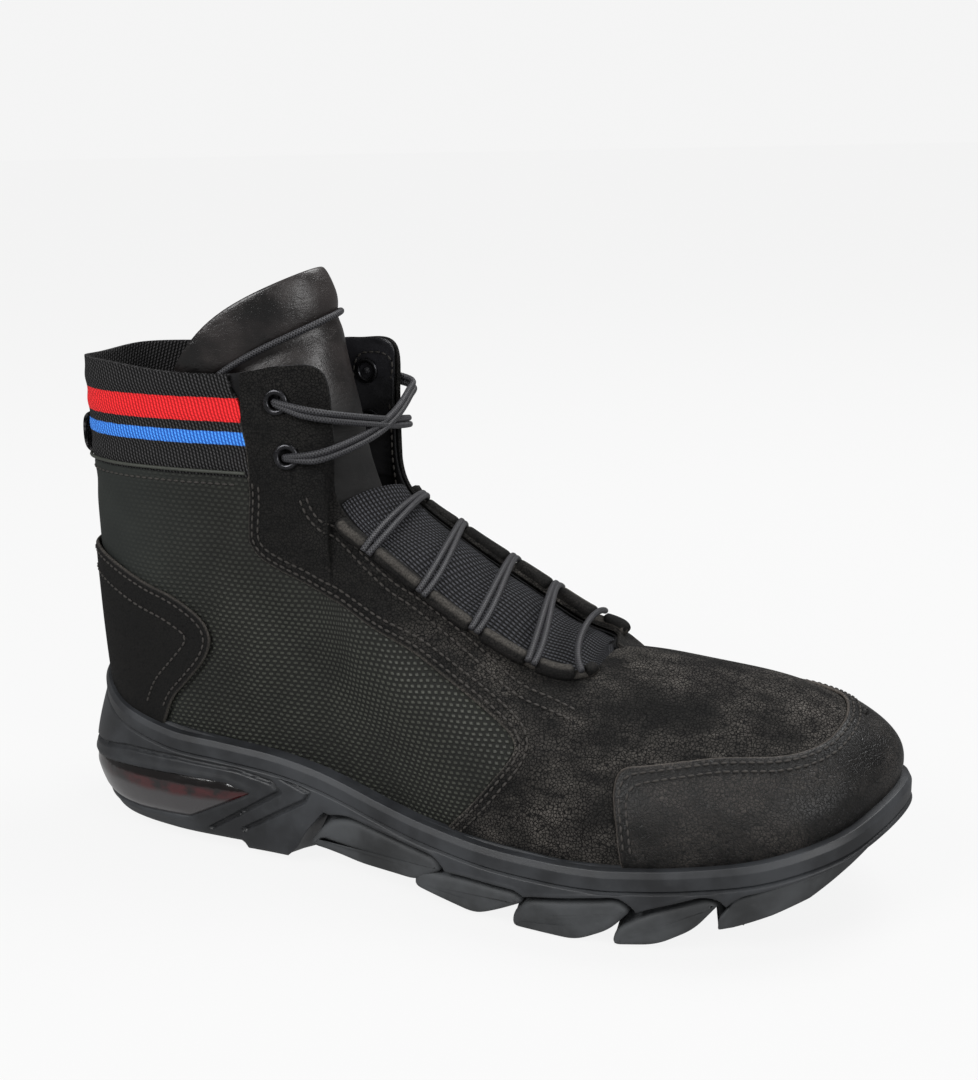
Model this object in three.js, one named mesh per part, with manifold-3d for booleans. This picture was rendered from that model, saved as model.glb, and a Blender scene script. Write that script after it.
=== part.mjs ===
// A right-foot high-top lace-up boot with a moulded sole, in millimetres, +Z up.
// While it is built, x runs from the heel to the toe, the outer side of the foot is at -y,
// and z is measured from the ground. The finished group is then centred over the origin.
import * as THREE from "three";
import { mergeVertices } from "three/addons/utils/BufferGeometryUtils.js";
import Module from "manifold-3d";

const wasm = await Module();
wasm.setup();

// Driving dimensions of the upper
const UPPER_LENGTH = 300;
const BALL_HALF_WIDTH = 50;
const COLLAR_HEIGHT = 170;
const WALL = 2.6;
const QUARTER_STEP = 0.7;
const OVERLAY = 1.1;
const CLEARANCE = 0.3;
const LASTING_TUCK = 2.5;

// Driving dimensions of the sole
const FOOTBED_HEEL = 31;
const FOOTBED_BALL = 20;
const HEEL_PAD_HEIGHT = 8;
const RIM_HEIGHT = 5.2;
const RIM_GROOVE = 1.3;
const SOLE_SHEET = 2.6;
const WINDOW_DEPTH = 9;
const SIDE_GROOVE_WIDTH = 1.6;
const SIDE_GROOVE_DEPTH = 1.5;
const LUG_CHANNEL = 9;

// Driving dimensions of the trims
const INSOLE_THICKNESS = 4;
const TONGUE_THICKNESS = 4.2;
const GUSSET_THICKNESS = 1;
const ROLL_RADIUS = 3.3;
const NOTCH_WIDTH = 8;
const NOTCH_FLOOR = 0.4;
const LACE_RADIUS = 1.1;
const STRAND_PITCH = 2;
const EYELET_RADIUS = 4.4;
const EYELET_BORE = 2.5;
const LOOP_WIDTH = 15;
const LOOP_HEIGHT = 18;
const LOOP_STRAP = 1.4;

// The last, one row for each rib from the heel to the toe.
// x is in per cent of the upper's length, y of the ball half width, z of the collar height.
// L is the outer side, M the inner side. Base is the line where the upper meets the sole,
// top is the collar, the throat edge and then the ridge of the closed vamp.
const RIB_COLUMNS = [
  "baseX", "baseYL", "baseYM", "baseZ", "topXL", "topXM", "topYL", "topYM", "axis",
  "topZL", "topZM", "rise", "bulge", "shoulder", "drop", "lean",
];
const RIBS = [
  ["heel_back", 2.8, 0, 0, 33.5, 2.2, 2.2, 0, 0, 0, 100, 100, 26.5, 2, -2, 23.5, 0],
  ["heel_corner", 4.3, 35, 34, 31.5, 3.8, 3.8, 35, 36, 0, 100.6, 100.6, 25.3, 4, -2, 23.5, 0],
  ["heel_side", 9, 59, 57, 27.6, 10, 10, 54, 54, 0, 100.3, 100.6, 23.5, 6, -4, 22.4, 0],
  ["heel_front", 16.7, 71, 65, 25, 18, 18, 58, 58, 0, 99.1, 100.6, 22.4, 6, -2, 22.4, 0],
  ["ankle", 24, 74, 66, 24.4, 26, 26, 56, 56, 0, 99.1, 101.2, 21.2, 4, 0, 22.4, 0],
  ["shank", 30.7, 75, 64, 23.6, 32.3, 32.7, 52, 52, 0, 100.9, 102.4, 20, 4, 2, 21.2, 0],
  ["facing_top", 36, 77.5, 64, 22.4, 36.7, 38.3, 44, 48, 0, 99.4, 101.2, 18.8, 4, 4, 20, 0.7],
  ["facing_mid", 40.7, 81, 65, 20.7, 37.7, 38.3, 44, 48, 0, 86.5, 85.9, 17.6, 4, 7, 15.3, 2.2],
  ["bend", 46, 88, 69, 18.8, 38, 39.3, 44, 48, 0, 73.5, 71.8, 16.5, 6, 12, 10.6, 2],
  ["instep", 52, 96, 77, 17.1, 44, 46.3, 44, 46, 0, 64.4, 62.4, 15.3, 8, 20, 5.9, 1],
  ["waist", 59.3, 103, 86, 15.7, 52.7, 54.3, 42, 42, 0, 52.9, 54.7, 14.1, 8, 24, 3.5, 0.3],
  ["joint", 66, 106, 91, 15.3, 61.3, 61.7, 38, 36, 0, 44.7, 48.2, 12.9, 8, 26, 1.8, 0],
  ["throat_end", 70.3, 106, 94, 15.3, 66, 66.3, 28, 26, 2, 43.5, 46.5, 12.4, 8, 32, 1.2, 0],
  ["vamp_point", 73.7, 104, 94, 15.6, 68.3, 68.3, 0, 0, 4, 45.9, 45.9, 12.4, 8, 44, 0.6, 0],
  ["vamp", 80, 96, 92, 16.5, 76.7, 76.7, 0, 0, 6, 44.4, 44.4, 11.8, 8, 44, 0.6, 0],
  ["toe_box", 87, 82, 82, 18.2, 83.7, 83.7, 0, 0, 10, 42.6, 42.6, 11.2, 8, 40, 0.6, 0],
  ["toe_side", 93, 56, 62, 20.9, 89, 89, 0, 0, 12, 40.6, 40.6, 9.4, 8, 30, 1.8, 0],
  ["toe_corner", 96.3, 24, 41, 23.5, 92.4, 92.4, 0, 0, 14, 37.9, 37.9, 8.2, 6, 22, 2.4, 0],
  ["toe_tip", 97.8, -14, 14, 24.7, 94, 94, 0, 0, 14, 36.5, 36.5, 7.1, 6, 18, 3.5, 0],
];
const RIB_COUNT = RIBS.length - 1;
const TURN = 2 * RIB_COUNT;
const CLOSED_FROM = 13;
const FINE_COLUMNS = 2;
const COARSE_COLUMNS = 1;
const SKIN_LEVELS = [0, 0.15, 0.36, 0.6, 0.83, 1];

const shareX = (percent) => (percent * UPPER_LENGTH) / 100;
const shareY = (percent) => (percent * BALL_HALF_WIDTH) / 100;
const shareZ = (percent) => (percent * COLLAR_HEIGHT) / 100;

// One row of the last on one side, in millimetres
function ribValues(index, outer) {
  const row = Object.fromEntries(RIB_COLUMNS.map((name, k) => [name, RIBS[index][k + 1]]));
  const side = outer ? "L" : "M";
  const sign = outer ? -1 : 1;
  const centred = index === 0;
  return [
    shareX(row.baseX),
    centred ? 0 : sign * shareY(row[`baseY${side}`]),
    shareZ(row.baseZ),
    shareX(row[`topX${side}`]),
    shareY(row.axis) + sign * shareY(row[`topY${side}`]),
    shareZ(row[`topZ${side}`]),
    shareY(row.axis),
    shareZ(row.rise),
    shareY(row.bulge),
    shareY(row.shoulder),
    shareZ(row.drop),
    shareX(row.lean),
  ];
}

// The ribs all the way round: heel, outer side, toe, inner side, back to the heel
const LOOP = Array.from({ length: TURN }, (_, k) =>
  k <= RIB_COUNT ? ribValues(k, true) : ribValues(TURN - k, false));

const wrap = (t) => ((t % TURN) + TURN) % TURN;

// Smooth values and their rate of change between the ribs, at a place t round the loop
function between(rows, t) {
  const place = wrap(t);
  const i = Math.floor(place);
  const f = place - i;
  const [a, b, c, d] = [-1, 0, 1, 2].map((step) => rows[wrap(i + step)]);
  const value = b.map((_, k) => 0.5 * (2 * b[k] + (c[k] - a[k]) * f
    + (2 * a[k] - 5 * b[k] + 4 * c[k] - d[k]) * f ** 2
    + (3 * b[k] - a[k] - 3 * c[k] + d[k]) * f ** 3));
  const rate = b.map((_, k) => 0.5 * (c[k] - a[k]
    + 2 * (2 * a[k] - 5 * b[k] + 4 * c[k] - d[k]) * f
    + 3 * (3 * b[k] - a[k] - 3 * c[k] + d[k]) * f ** 2));
  return { value, rate };
}

const isClosed = (t) => wrap(t) >= CLOSED_FROM && wrap(t) <= TURN - CLOSED_FROM;

// The four control points of the rib at t, with the outward direction in plan
function rib(t) {
  const { value, rate } = between(LOOP, t);
  const [bx, by, bz, tx, ty, tz, axis, rise, bulge, shoulder, drop, lean] = value;
  const out = new THREE.Vector3(rate[1], -rate[0], 0).normalize();
  const base = new THREE.Vector3(bx, by, bz);
  const top = new THREE.Vector3(tx, ty, tz);
  if (isClosed(t)) {
    const other = between(LOOP, TURN - t).value;
    top.set((tx + other[3]) / 2, axis, (tz + other[5]) / 2);
  }
  const lower = base.clone().addScaledVector(out, bulge);
  lower.z += rise;
  const upper = top.clone().addScaledVector(out, shoulder);
  upper.z -= drop;
  upper.x -= lean;
  return { base, lower, upper, top, out };
}

// A point of the last's skin: t round the foot, s from the sole (0) to the top line (1)
function skin(t, s) {
  const { base, lower, upper, top } = rib(t);
  return new THREE.CubicBezierCurve3(base, lower, upper, top).getPoint(s);
}

// The outward direction of the skin. On the closed ridge both sides share one.
function skinNormal(t, s) {
  const step = 0.02;
  const level = Math.min(Math.max(s, step), 1 - step);
  const along = skin(t + step, level).sub(skin(t - step, level));
  const up = skin(t, level + step).sub(skin(t, level - step));
  const normal = along.cross(up).normalize();
  if (isClosed(t) && s === 1) {
    normal.y = 0;
    normal.normalize();
  }
  return normal;
}

function offsetSkin(t, s, offset) {
  return skin(t, s).addScaledVector(skinNormal(t, s), offset);
}

// A closed solid from index triples, with shared corners merged and flat slivers dropped
function solidFrom(points, triangles) {
  const geometry = new THREE.BufferGeometry();
  const numbers = points.flatMap((p) => p.toArray());
  geometry.setAttribute("position", new THREE.Float32BufferAttribute(numbers, 3));
  geometry.setIndex(triangles.flat());
  return solidOf(geometry);
}

function solidOf(source) {
  const bare = source.clone();
  bare.deleteAttribute("normal");
  bare.deleteAttribute("uv");
  const merged = mergeVertices(bare, 1e-3);
  const index = Array.from(merged.index.array);
  const kept = [];
  for (let k = 0; k < index.length; k += 3) {
    const [a, b, c] = index.slice(k, k + 3);
    if (a !== b && b !== c && a !== c) {
      kept.push(a, b, c);
    }
  }
  const positions = new Float32Array(merged.attributes.position.array);
  const build = (triVerts) => new wasm.Manifold(new wasm.Mesh({
    numProp: 3, vertProperties: positions, triVerts: new Uint32Array(triVerts),
  }));
  const first = build(kept);
  if (first.volume() > 0) {
    return first;
  }
  const flipped = [];
  for (let k = 0; k < kept.length; k += 3) {
    flipped.push(kept[k], kept[k + 2], kept[k + 1]);
  }
  return build(flipped);
}

// Rings of equal length stacked into a closed solid. Each end is closed by strips
// between the two points that face each other across the foot.
function stack(rings) {
  const count = rings[0].length;
  const triangles = [];
  const quad = (a, b, c, d) => triangles.push([a, b, c], [a, c, d]);
  for (let r = 0; r + 1 < rings.length; r += 1) {
    for (let j = 0; j < count; j += 1) {
      const next = (j + 1) % count;
      quad(r * count + j, r * count + next, (r + 1) * count + next, (r + 1) * count + j);
    }
  }
  const last = (rings.length - 1) * count;
  for (let j = 0; j < count / 2; j += 1) {
    const far = (count - j) % count;
    const farNext = (count - j - 1) % count;
    quad(far, farNext, j + 1, j);
    quad(last + j, last + j + 1, last + farNext, last + far);
  }
  return solidFrom(rings.flat(), triangles);
}

// Places round the loop where the forms have a column of points. The same list runs down
// both sides, so that each column faces its twin. The plain flank of the ankle needs fewer.
const PLAIN_FLANK = [3.5, 6];
function columnsAt(perRib) {
  const half = Array.from({ length: RIB_COUNT * perRib + 1 }, (_, k) => k / perRib)
    .filter((t) => Number.isInteger(t) || t < PLAIN_FLANK[0] || t > PLAIN_FLANK[1]);
  return [...half, ...half.slice(1, -1).reverse().map((t) => TURN - t)];
}
const COLUMNS = columnsAt(FINE_COLUMNS);

// A smooth height along the foot from a short list of [x in per cent of length, height]
function profile(points) {
  return (x) => {
    const percent = (100 * x) / UPPER_LENGTH;
    const k = points.findIndex(([at]) => at > percent);
    if (k <= 0) {
      return k === 0 ? points[0][1] : points[points.length - 1][1];
    }
    const [[x0, z0], [x1, z1]] = [points[k - 1], points[k]];
    return THREE.MathUtils.lerp(z0, z1, (percent - x0) / (x1 - x0));
  };
}

// The footbed falls from the heel to the ball and lifts again under the toes
const footbed = profile([
  [0, FOOTBED_HEEL + 1], [20, FOOTBED_HEEL], [37.5, FOOTBED_HEEL - 2], [43, FOOTBED_HEEL - 3.3],
  [50, FOOTBED_BALL + 4.6], [57, FOOTBED_BALL + 1.2], [66, FOOTBED_BALL], [76, FOOTBED_BALL + 2],
  [84, FOOTBED_BALL + 5], [92, FOOTBED_BALL + 9.6], [97, FOOTBED_BALL + 15], [102, FOOTBED_BALL + 20],
]);

// How far the opening's own direction leans forward from straight up, in degrees, by rib:
// the collar opens upward and the throat opens forward and up
function openingDirection(t) {
  const place = Math.min(wrap(t), TURN - wrap(t));
  const lean = [[0, 0], [5, 0], [7, 50], [9, 50], [12, 15], [RIB_COUNT, 0]];
  const k = lean.findIndex(([at], i) => i > 0 && place <= at);
  const [[t0, a0], [t1, a1]] = [lean[k - 1], lean[k]];
  const angle = THREE.MathUtils.degToRad(THREE.MathUtils.mapLinear(place, t0, t1, a0, a1));
  return new THREE.Vector3(Math.sin(angle), 0, Math.cos(angle));
}

// The form of the last at one offset from its skin, down to a height below the footbed,
// and lifted past the open top line
function form(offset, below, lift, perRib = FINE_COLUMNS) {
  const columns = columnsAt(perRib);
  const floor = columns.map((t) => {
    const { base, out } = rib(t);
    const point = base.clone().addScaledVector(out, offset - LASTING_TUCK);
    point.z = footbed(point.x) - below;
    return point;
  });
  const levels = SKIN_LEVELS.map((s) => columns.map((t) => offsetSkin(t, s, offset)));
  const raised = columns.map((t) => {
    const point = offsetSkin(t, 1, offset);
    return isClosed(t) ? point : point.addScaledVector(openingDirection(t), lift);
  });
  return stack(lift > 0 ? [floor, ...levels, raised] : [floor, ...levels]);
}

// How far a cut through the whole width reaches to each side
const OUTSIDE = 90;

// A flat outline in x and z, pushed through the width from y = from to y = to
function sideCut(outline, from, to) {
  const shape = new THREE.Shape(outline.map(([x, z]) => new THREE.Vector2(x, z)));
  const geometry = new THREE.ExtrudeGeometry(shape, { depth: to - from, bevelEnabled: false });
  geometry.rotateX(Math.PI / 2);
  geometry.translate(0, to, 0);
  return solidOf(geometry);
}

// A thin band along a line in x and z, pushed through the whole width: one plate for each
// stretch, each reaching half its width past both ends so that neighbours join
function ribbon(line, width) {
  const plates = line.slice(1).map(([x1, z1], k) => {
    const [x0, z0] = line[k];
    const ahead = new THREE.Vector2(x1 - x0, z1 - z0).setLength(width / 2);
    const [ax, az] = ahead.toArray();
    return sideCut([
      [x0 - ax + az, z0 - az - ax], [x1 + ax + az, z1 + az - ax],
      [x1 + ax - az, z1 + az + ax], [x0 - ax - az, z0 - az + ax],
    ], -OUTSIDE, OUTSIDE);
  });
  return plates.reduce((body, plate) => body.add(plate));
}

// The biggest body of a solid, so that a loose sliver never stays with it
function mainBody(solid) {
  return solid.decompose().sort((a, b) => b.volume() - a.volume())[0];
}

const fullWidth = (outline) => sideCut(outline, -OUTSIDE, OUTSIDE);

// An outline seen from the side: x in per cent of the upper's length, z of the collar height
// on the upper and of the footbed's height at the ball on the sole
const upperOutline = (outline) => outline.map(([x, z]) => [shareX(x), shareZ(z)]);
const soleOutline = (outline) => outline.map(([x, z]) => [shareX(x), (z * FOOTBED_BALL) / 100]);

// The upper and what is cut from its form
const CUFF_SEAM_Z = shareZ(80);
const CUFF_FRONT = upperOutline([[25.33, 120], [25.33, 97.06], [26.67, 92.35], [27.67, 85.29], [28, 80]]);
const grow = (outline, x, z) => outline.map(([px, pz]) => [px + x, pz + z]);
const cuffOutline = [[-20, COLLAR_HEIGHT * 1.2], [-20, CUFF_SEAM_Z], ...CUFF_FRONT.slice().reverse()];
const cuffRoom = [
  [-20, COLLAR_HEIGHT * 1.2], [-20, CUFF_SEAM_Z - CLEARANCE],
  ...grow(CUFF_FRONT, CLEARANCE, 0).reverse().map(([x, z]) => [x, z === CUFF_SEAM_Z ? z - CLEARANCE : z]),
];
const quarterOutline = upperOutline([
  [-6.67, 78.82], [28, 78.82], [28, 66.47], [29.33, 63.53], [36, 58.24], [43, 52.35], [48, 48.82],
  [52.67, 44.12], [59, 37.65], [61, 34.71], [61, 32.35], [59.33, 28.24], [56.67, 22.35],
  [52.33, 14.12], [-6.67, 14.12],
]);
const counterOutline = upperOutline([
  [-6.67, 61.76], [4.67, 61.18], [9.33, 58.82], [14, 55.88], [18, 53.82], [21.33, 50.59],
  [22.67, 47.65], [22.83, 44.71], [21.67, 40.59], [19.33, 35.88], [17, 31.18], [14.33, 21.18],
  [-6.67, 21.18],
]);
const toeCapOutline = upperOutline([
  [74.33, 11.76], [73, 22.94], [72.17, 27.65], [72.5, 30.59], [73.67, 32.35], [76.33, 33.24],
  [81.33, 34.12], [87.33, 34.12], [90, 34.71], [92, 37.06], [92.17, 47.06], [113.33, 47.06],
  [113.33, 11.76],
]);

// Eyelets: t round the foot and s up the skin, in pairs for the outer and inner side
const EYELETS = [
  { name: "eyelet_outer_top", t: 4.9, s: 0.9 },
  { name: "eyelet_outer_low", t: 5.15, s: 0.76 },
  { name: "eyelet_inner_top", t: TURN - 5.3, s: 0.9 },
  { name: "eyelet_inner_low", t: TURN - 5.35, s: 0.76 },
];

function onSkin(geometry, t, s, offset) {
  const turn = new THREE.Quaternion().setFromUnitVectors(new THREE.Vector3(0, 1, 0), skinNormal(t, s));
  geometry.applyQuaternion(turn);
  geometry.translate(...offsetSkin(t, s, offset).toArray());
  return solidOf(geometry);
}

// The rolled throat edge rides on the skin just below the top line
const ROLL_S = 0.95;
const ROLL_LIFT = 1.7;
const ROLL_FROM_OUTER = 8.1;
const ROLL_FROM_INNER = 7.95;
const ROLL_TO = 12.1;

// Where each lace bar enters the rolls: its place on the outer and on the inner side
const NOTCHES = [[8.75, 8.22], [9.5, 8.88], [10.15, 9.72], [10.85, 10.4], [11.8, 11.32]];

const inner = (t) => TURN - t;
const barEnds = ([outerT, innerT]) => [outerT, inner(innerT)];

function tube(points, radius, sides, steps) {
  const path = new THREE.CatmullRomCurve3(points);
  const section = new THREE.Shape(Array.from({ length: sides }, (_, k) => new THREE.Vector2(
    radius * Math.cos((2 * Math.PI * k) / sides), radius * Math.sin((2 * Math.PI * k) / sides))));
  return solidOf(new THREE.ExtrudeGeometry(section, { steps, bevelEnabled: false, extrudePath: path }));
}

function rollPoint(t) {
  return offsetSkin(t, ROLL_S, ROLL_LIFT);
}

// Directions at a place on the roll: along it, across it and out of the skin
function rollFrame(t) {
  const up = skinNormal(t, ROLL_S);
  const path = rollPoint(t + 0.1).sub(rollPoint(t - 0.1));
  const across = up.clone().cross(path).normalize();
  return { ahead: across.clone().cross(up), across, up };
}

function throatRoll(end, from) {
  const count = 11;
  const side = end === 0 ? (t) => t : inner;
  const places = Array.from({ length: count + 1 }, (_, k) => from + ((ROLL_TO - from) * k) / count);
  const rope = tube(places.map((t) => rollPoint(side(t))), ROLL_RADIUS, 8, 18);
  const depth = 3 * ROLL_RADIUS;
  const cuts = NOTCHES.map((pair) => {
    const t = barEnds(pair)[end];
    const { ahead, across, up } = rollFrame(t);
    const box = new THREE.BoxGeometry(NOTCH_WIDTH, 4 * ROLL_RADIUS, depth);
    box.applyMatrix4(new THREE.Matrix4().makeBasis(ahead, across, up));
    box.translate(...rollPoint(t).addScaledVector(up, NOTCH_FLOOR + depth / 2).toArray());
    return solidOf(box);
  });
  const rooms = NOTCHES.map((pair) => laceBar(pair, 2, LACE_RADIUS + CLEARANCE, CLEARANCE));
  const trimmed = rope.subtract(form(2 * CLEARANCE, 2, 0));
  return mainBody([...cuts, ...rooms].reduce((body, cut) => body.subtract(cut), trimmed));
}

// The sole, one row per rib: how far the rim, the bulging flank and the foot of the flank
// stand out from the base line of the upper, in per cent of the ball half width
const SOLE_ROWS = [
  [5.2, 18, 8], [6, 18, 8], [7.2, 16, 8], [8.4, 14, 8], [9, 12, 8], [9, 10.8, 7.6], [9, 10.4, 7.2],
  [9, 10, 6.8], [9, 10, 6.8], [9, 10, 6.8], [9, 10, 6.8], [9, 10, 6.8], [9, 10, 6.8], [9, 10, 6.8],
  [9, 10, 6.4], [9.2, 10, 5.6], [9.2, 10, 4.8], [9.2, 10, 4], [9.2, 10, 3.2],
].map((row) => row.map(shareY));
const SOLE_LOOP = Array.from({ length: TURN }, (_, k) => SOLE_ROWS[k <= RIB_COUNT ? k : TURN - k]);

// Underside of the midsole: level over the heel pad, then up through the arch,
// down to the ball and up again to the toe
const undersideLine = profile([
  [-5, HEEL_PAD_HEIGHT], [27, HEEL_PAD_HEIGHT + 0.5], [37.5, 25], [43, 24.3], [50, 21], [56, 17.6],
  [63, 15.5], [71, 17], [76, 19], [84, 22], [92, 27], [97, 32.5], [101, 37],
]);
const BELOW_RIM = 7.6;

function soleColumn(t, shift, raise = 0, sink = 0) {
  const { base, out } = rib(t);
  const [rim, flank, foot] = between(SOLE_LOOP, t).value;
  const at = (stand, z) => {
    const point = base.clone().addScaledVector(out, stand + shift);
    point.z = z;
    return point;
  };
  const rimFoot = base.z - RIM_HEIGHT;
  const under = Math.min(undersideLine(base.x), base.z - BELOW_RIM);
  const band = rimFoot - RIM_GROOVE;
  return {
    under,
    points: [
      at(rim - 2.5, base.z + 1 + raise),
      at(rim - 0.6, base.z + 0.8 + raise),
      at(rim + 0.4, base.z - 1.2 + raise),
      at(rim + 0.4, rimFoot), at(rim - 0.8, rimFoot - 0.4), at(rim + 0.6, band),
      at(flank, THREE.MathUtils.lerp(band, under, 0.55)), at(foot, under - sink),
    ],
  };
}

function soleForm(shift, raise = 0, perRib = FINE_COLUMNS, sink = 0) {
  const columns = columnsAt(perRib).map((t) => soleColumn(t, shift, raise, sink).points);
  return stack(columns[0].map((_, level) => columns.map((column) => column[level])));
}

// A block under the midsole, inset from the foot of its flank and reaching up into it.
// It ends at the ground, or as a sheet of even thickness below the midsole.
const REACH_UP = 2;
function underForm(inset, draft, thickness) {
  const ring = (stand, height) => COLUMNS.map((t) => {
    const { base, out } = rib(t);
    const point = base.clone().addScaledVector(out, between(SOLE_LOOP, t).value[2] - stand);
    point.z = height(soleColumn(t, 0).under);
    return point;
  });
  return stack([
    ring(inset, (under) => under + REACH_UP),
    ring(inset + draft, (under) => (thickness ? under - thickness : 0)),
  ]);
}

// Window of the heel cushion, and the raised lines round it, seen from the side
const windowOutline = soleOutline([
  [-4.67, 48], [-4.67, 110], [2.67, 120], [9.33, 132.5], [17.67, 140], [24.67, 140], [28, 127.5],
  [19.33, 62.5], [11.33, 52.5],
]);
const windowPiece = soleOutline([
  [-4.67, 49.5], [-4.67, 108.5], [2.67, 118.5], [9.33, 131], [17.67, 138.5], [24.6, 138.5],
  [27.67, 127.5], [19.33, 64.5], [11.33, 54.5],
]);
const SIDE_GROOVES = [
  [[-4, 137.5], [2.67, 145], [10, 165], [18, 170], [26.33, 167.5], [31, 155], [32, 140], [22, 45]],
  [[32.33, 167.5], [36, 150], [35.33, 132.5], [26.67, 55]],
].map(soleOutline);

// Ground lugs seen from the side, each an outline in x and z
const LUGS = [
  [[35, 45], [40.67, 115], [52.67, 92.5], [53.33, 80], [49.33, 32.5], [39.33, 35]],
  [[49.33, 25], [50.33, 65], [62.67, 67.5], [62.67, 50], [57.33, 2.5]],
  [[61.67, 0], [63.33, 57.5], [74, 86], [74.67, 65], [68.33, 0]],
  [[72.67, 0], [73.33, 40], [76.67, 70], [82.67, 97.5], [83.33, 85], [78, 12.5]],
  [[83.67, 42.5], [85, 97.5], [92, 125], [96.67, 155], [99.67, 180],
    [99.67, 165], [97, 130], [93, 87.5], [88.67, 60]],
].map(soleOutline);
const heelPadOutline = soleOutline([
  [-4.67, 60], [-4.67, 30], [0.67, 10], [3.33, 0], [28.67, 0], [33, 22.5], [38, 130], [37.33, 130],
  [26.67, 60],
]);

const colour = (r, g, b) => new THREE.Color().setRGB(r / 255, g / 255, b / 255, THREE.SRGBColorSpace);
const finish = (r, g, b, roughness, metalness = 0) =>
  new THREE.MeshStandardMaterial({ color: colour(r, g, b), roughness, metalness });
const NUBUCK = finish(32, 31, 31, 0.85);
const GRAIN_LEATHER = finish(34, 33, 33, 0.6);
const SMOOTH_LEATHER = finish(62, 56, 54, 0.4);
const RUBBER = finish(62, 63, 66, 0.5);
const CUSHION = finish(52, 16, 16, 0.15);
const WEBBING = finish(30, 30, 31, 0.9);
const MESH_CLOTH = finish(52, 53, 54, 0.85);
const CORD = finish(60, 60, 62, 0.7);
const GUNMETAL = finish(70, 70, 72, 0.35, 0.9);

const boot = new THREE.Group();

function addPiece(name, solid, material) {
  const mesh = solid.getMesh();
  const geometry = new THREE.BufferGeometry();
  geometry.setAttribute("position", new THREE.BufferAttribute(new Float32Array(mesh.vertProperties), 3));
  geometry.setIndex(new THREE.BufferAttribute(new Uint32Array(mesh.triVerts), 1));
  geometry.computeVertexNormals();
  const piece = new THREE.Mesh(geometry, material);
  piece.name = name;
  boot.add(piece);
}

// Forms shared by several pieces
const LIFT = 40;
const outerForm = form(0, -CLEARANCE, 0);
const lining = form(-WALL, 8, LIFT, COARSE_COLUMNS);
const clearOfUpper = form(CLEARANCE, 0, 0);
const insideClear = form(-WALL - 1.5 * CLEARANCE, 6, LIFT, COARSE_COLUMNS);

function makeUpper() {
  const shell = outerForm.subtract(lining).subtract(fullWidth(cuffRoom));
  const stepped = shell.subtract(fullWidth(quarterOutline).subtract(form(-QUARTER_STEP, 12, LIFT)));
  const bore = EYELET_BORE + 0.5 + CLEARANCE;
  const bores = EYELETS.map(({ t, s }) => onSkin(new THREE.CylinderGeometry(bore, bore, 12, 12), t, s, 0));
  return mainBody(bores.reduce((body, hole) => body.subtract(hole), stepped));
}

function makeCuff() {
  return mainBody(form(-0.5, 2, 0).subtract(lining).intersect(fullWidth(cuffOutline)));
}

function makeOverlay(outline) {
  return mainBody(form(CLEARANCE + OVERLAY, 0, 0).subtract(clearOfUpper)
    .intersect(fullWidth(outline)).subtract(soleRoom));
}

function makeEyelet({ t, s }) {
  const flange = 0.9;
  const tail = -WALL + 0.4;
  const rim = EYELET_BORE + 0.5;
  const points = [
    [EYELET_BORE, tail], [rim, tail], [rim, CLEARANCE], [EYELET_RADIUS, CLEARANCE],
    [EYELET_RADIUS - 0.7, CLEARANCE + flange], [EYELET_BORE + 0.2, CLEARANCE + flange], [EYELET_BORE, tail],
  ];
  const ring = new THREE.LatheGeometry(points.map(([r, y]) => new THREE.Vector2(r, y)), 12);
  return onSkin(ring, t, s, 0);
}

// A sheet of even thickness over a grid of points, rows along and columns across
function sheet(grid, thickness) {
  const rows = grid.length;
  const columns = grid[0].length;
  const at = (r, c) => grid[Math.min(Math.max(r, 0), rows - 1)][Math.min(Math.max(c, 0), columns - 1)];
  const face = (sign) => grid.flatMap((row, r) => row.map((point, c) => {
    const down = at(r + 1, c).clone().sub(at(r - 1, c));
    const across = at(r, c + 1).clone().sub(at(r, c - 1));
    return point.clone().addScaledVector(down.cross(across).normalize(), (sign * thickness) / 2);
  }));
  const points = [...face(1), ...face(-1)];
  const under = rows * columns;
  const triangles = [];
  const quad = (a, b, c, d) => triangles.push([a, b, c], [a, c, d]);
  for (let r = 0; r + 1 < rows; r += 1) {
    for (let c = 0; c + 1 < columns; c += 1) {
      const [a, b] = [r * columns + c, r * columns + c + 1];
      const [d, e] = [a + columns, b + columns];
      quad(a, b, e, d);
      quad(under + d, under + e, under + b, under + a);
    }
  }
  const edge = (a, b) => quad(b, a, under + a, under + b);
  for (let c = 0; c + 1 < columns; c += 1) {
    edge(c, c + 1);
    edge((rows - 1) * columns + c + 1, (rows - 1) * columns + c);
  }
  for (let r = 0; r + 1 < rows; r += 1) {
    edge((r + 1) * columns, r * columns);
    edge(r * columns + columns - 1, (r + 1) * columns + columns - 1);
  }
  return solidFrom(points, triangles);
}

// The mesh gusset hangs under both throat edges and bridges the opening in a low arch
const GUSSET_FROM = 8;
const GUSSET_TO = 12.6;
const GUSSET_CROWN = 4;
const GUSSET_DEPTH = WALL + CLEARANCE + 0.3 + GUSSET_THICKNESS / 2;

function gussetRow(t) {
  const arm = (side) => [0.82, 0.91, 1].map((s) => offsetSkin(side(t), s, -GUSSET_DEPTH));
  const outerArm = arm((place) => place);
  const innerArm = arm(inner);
  const reach = outerArm[2].distanceTo(innerArm[2]) / 3;
  const handle = (points) => {
    const lead = points[2].clone().sub(points[1]).setLength(reach);
    lead.z = Math.min(lead.z, GUSSET_CROWN);
    return points[2].clone().add(lead);
  };
  const bridge = new THREE.CubicBezierCurve3(outerArm[2], handle(outerArm), handle(innerArm), innerArm[2]);
  return [...outerArm, ...[0.2, 0.4, 0.6, 0.8].map((u) => bridge.getPoint(u)), ...innerArm.reverse()];
}

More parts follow.
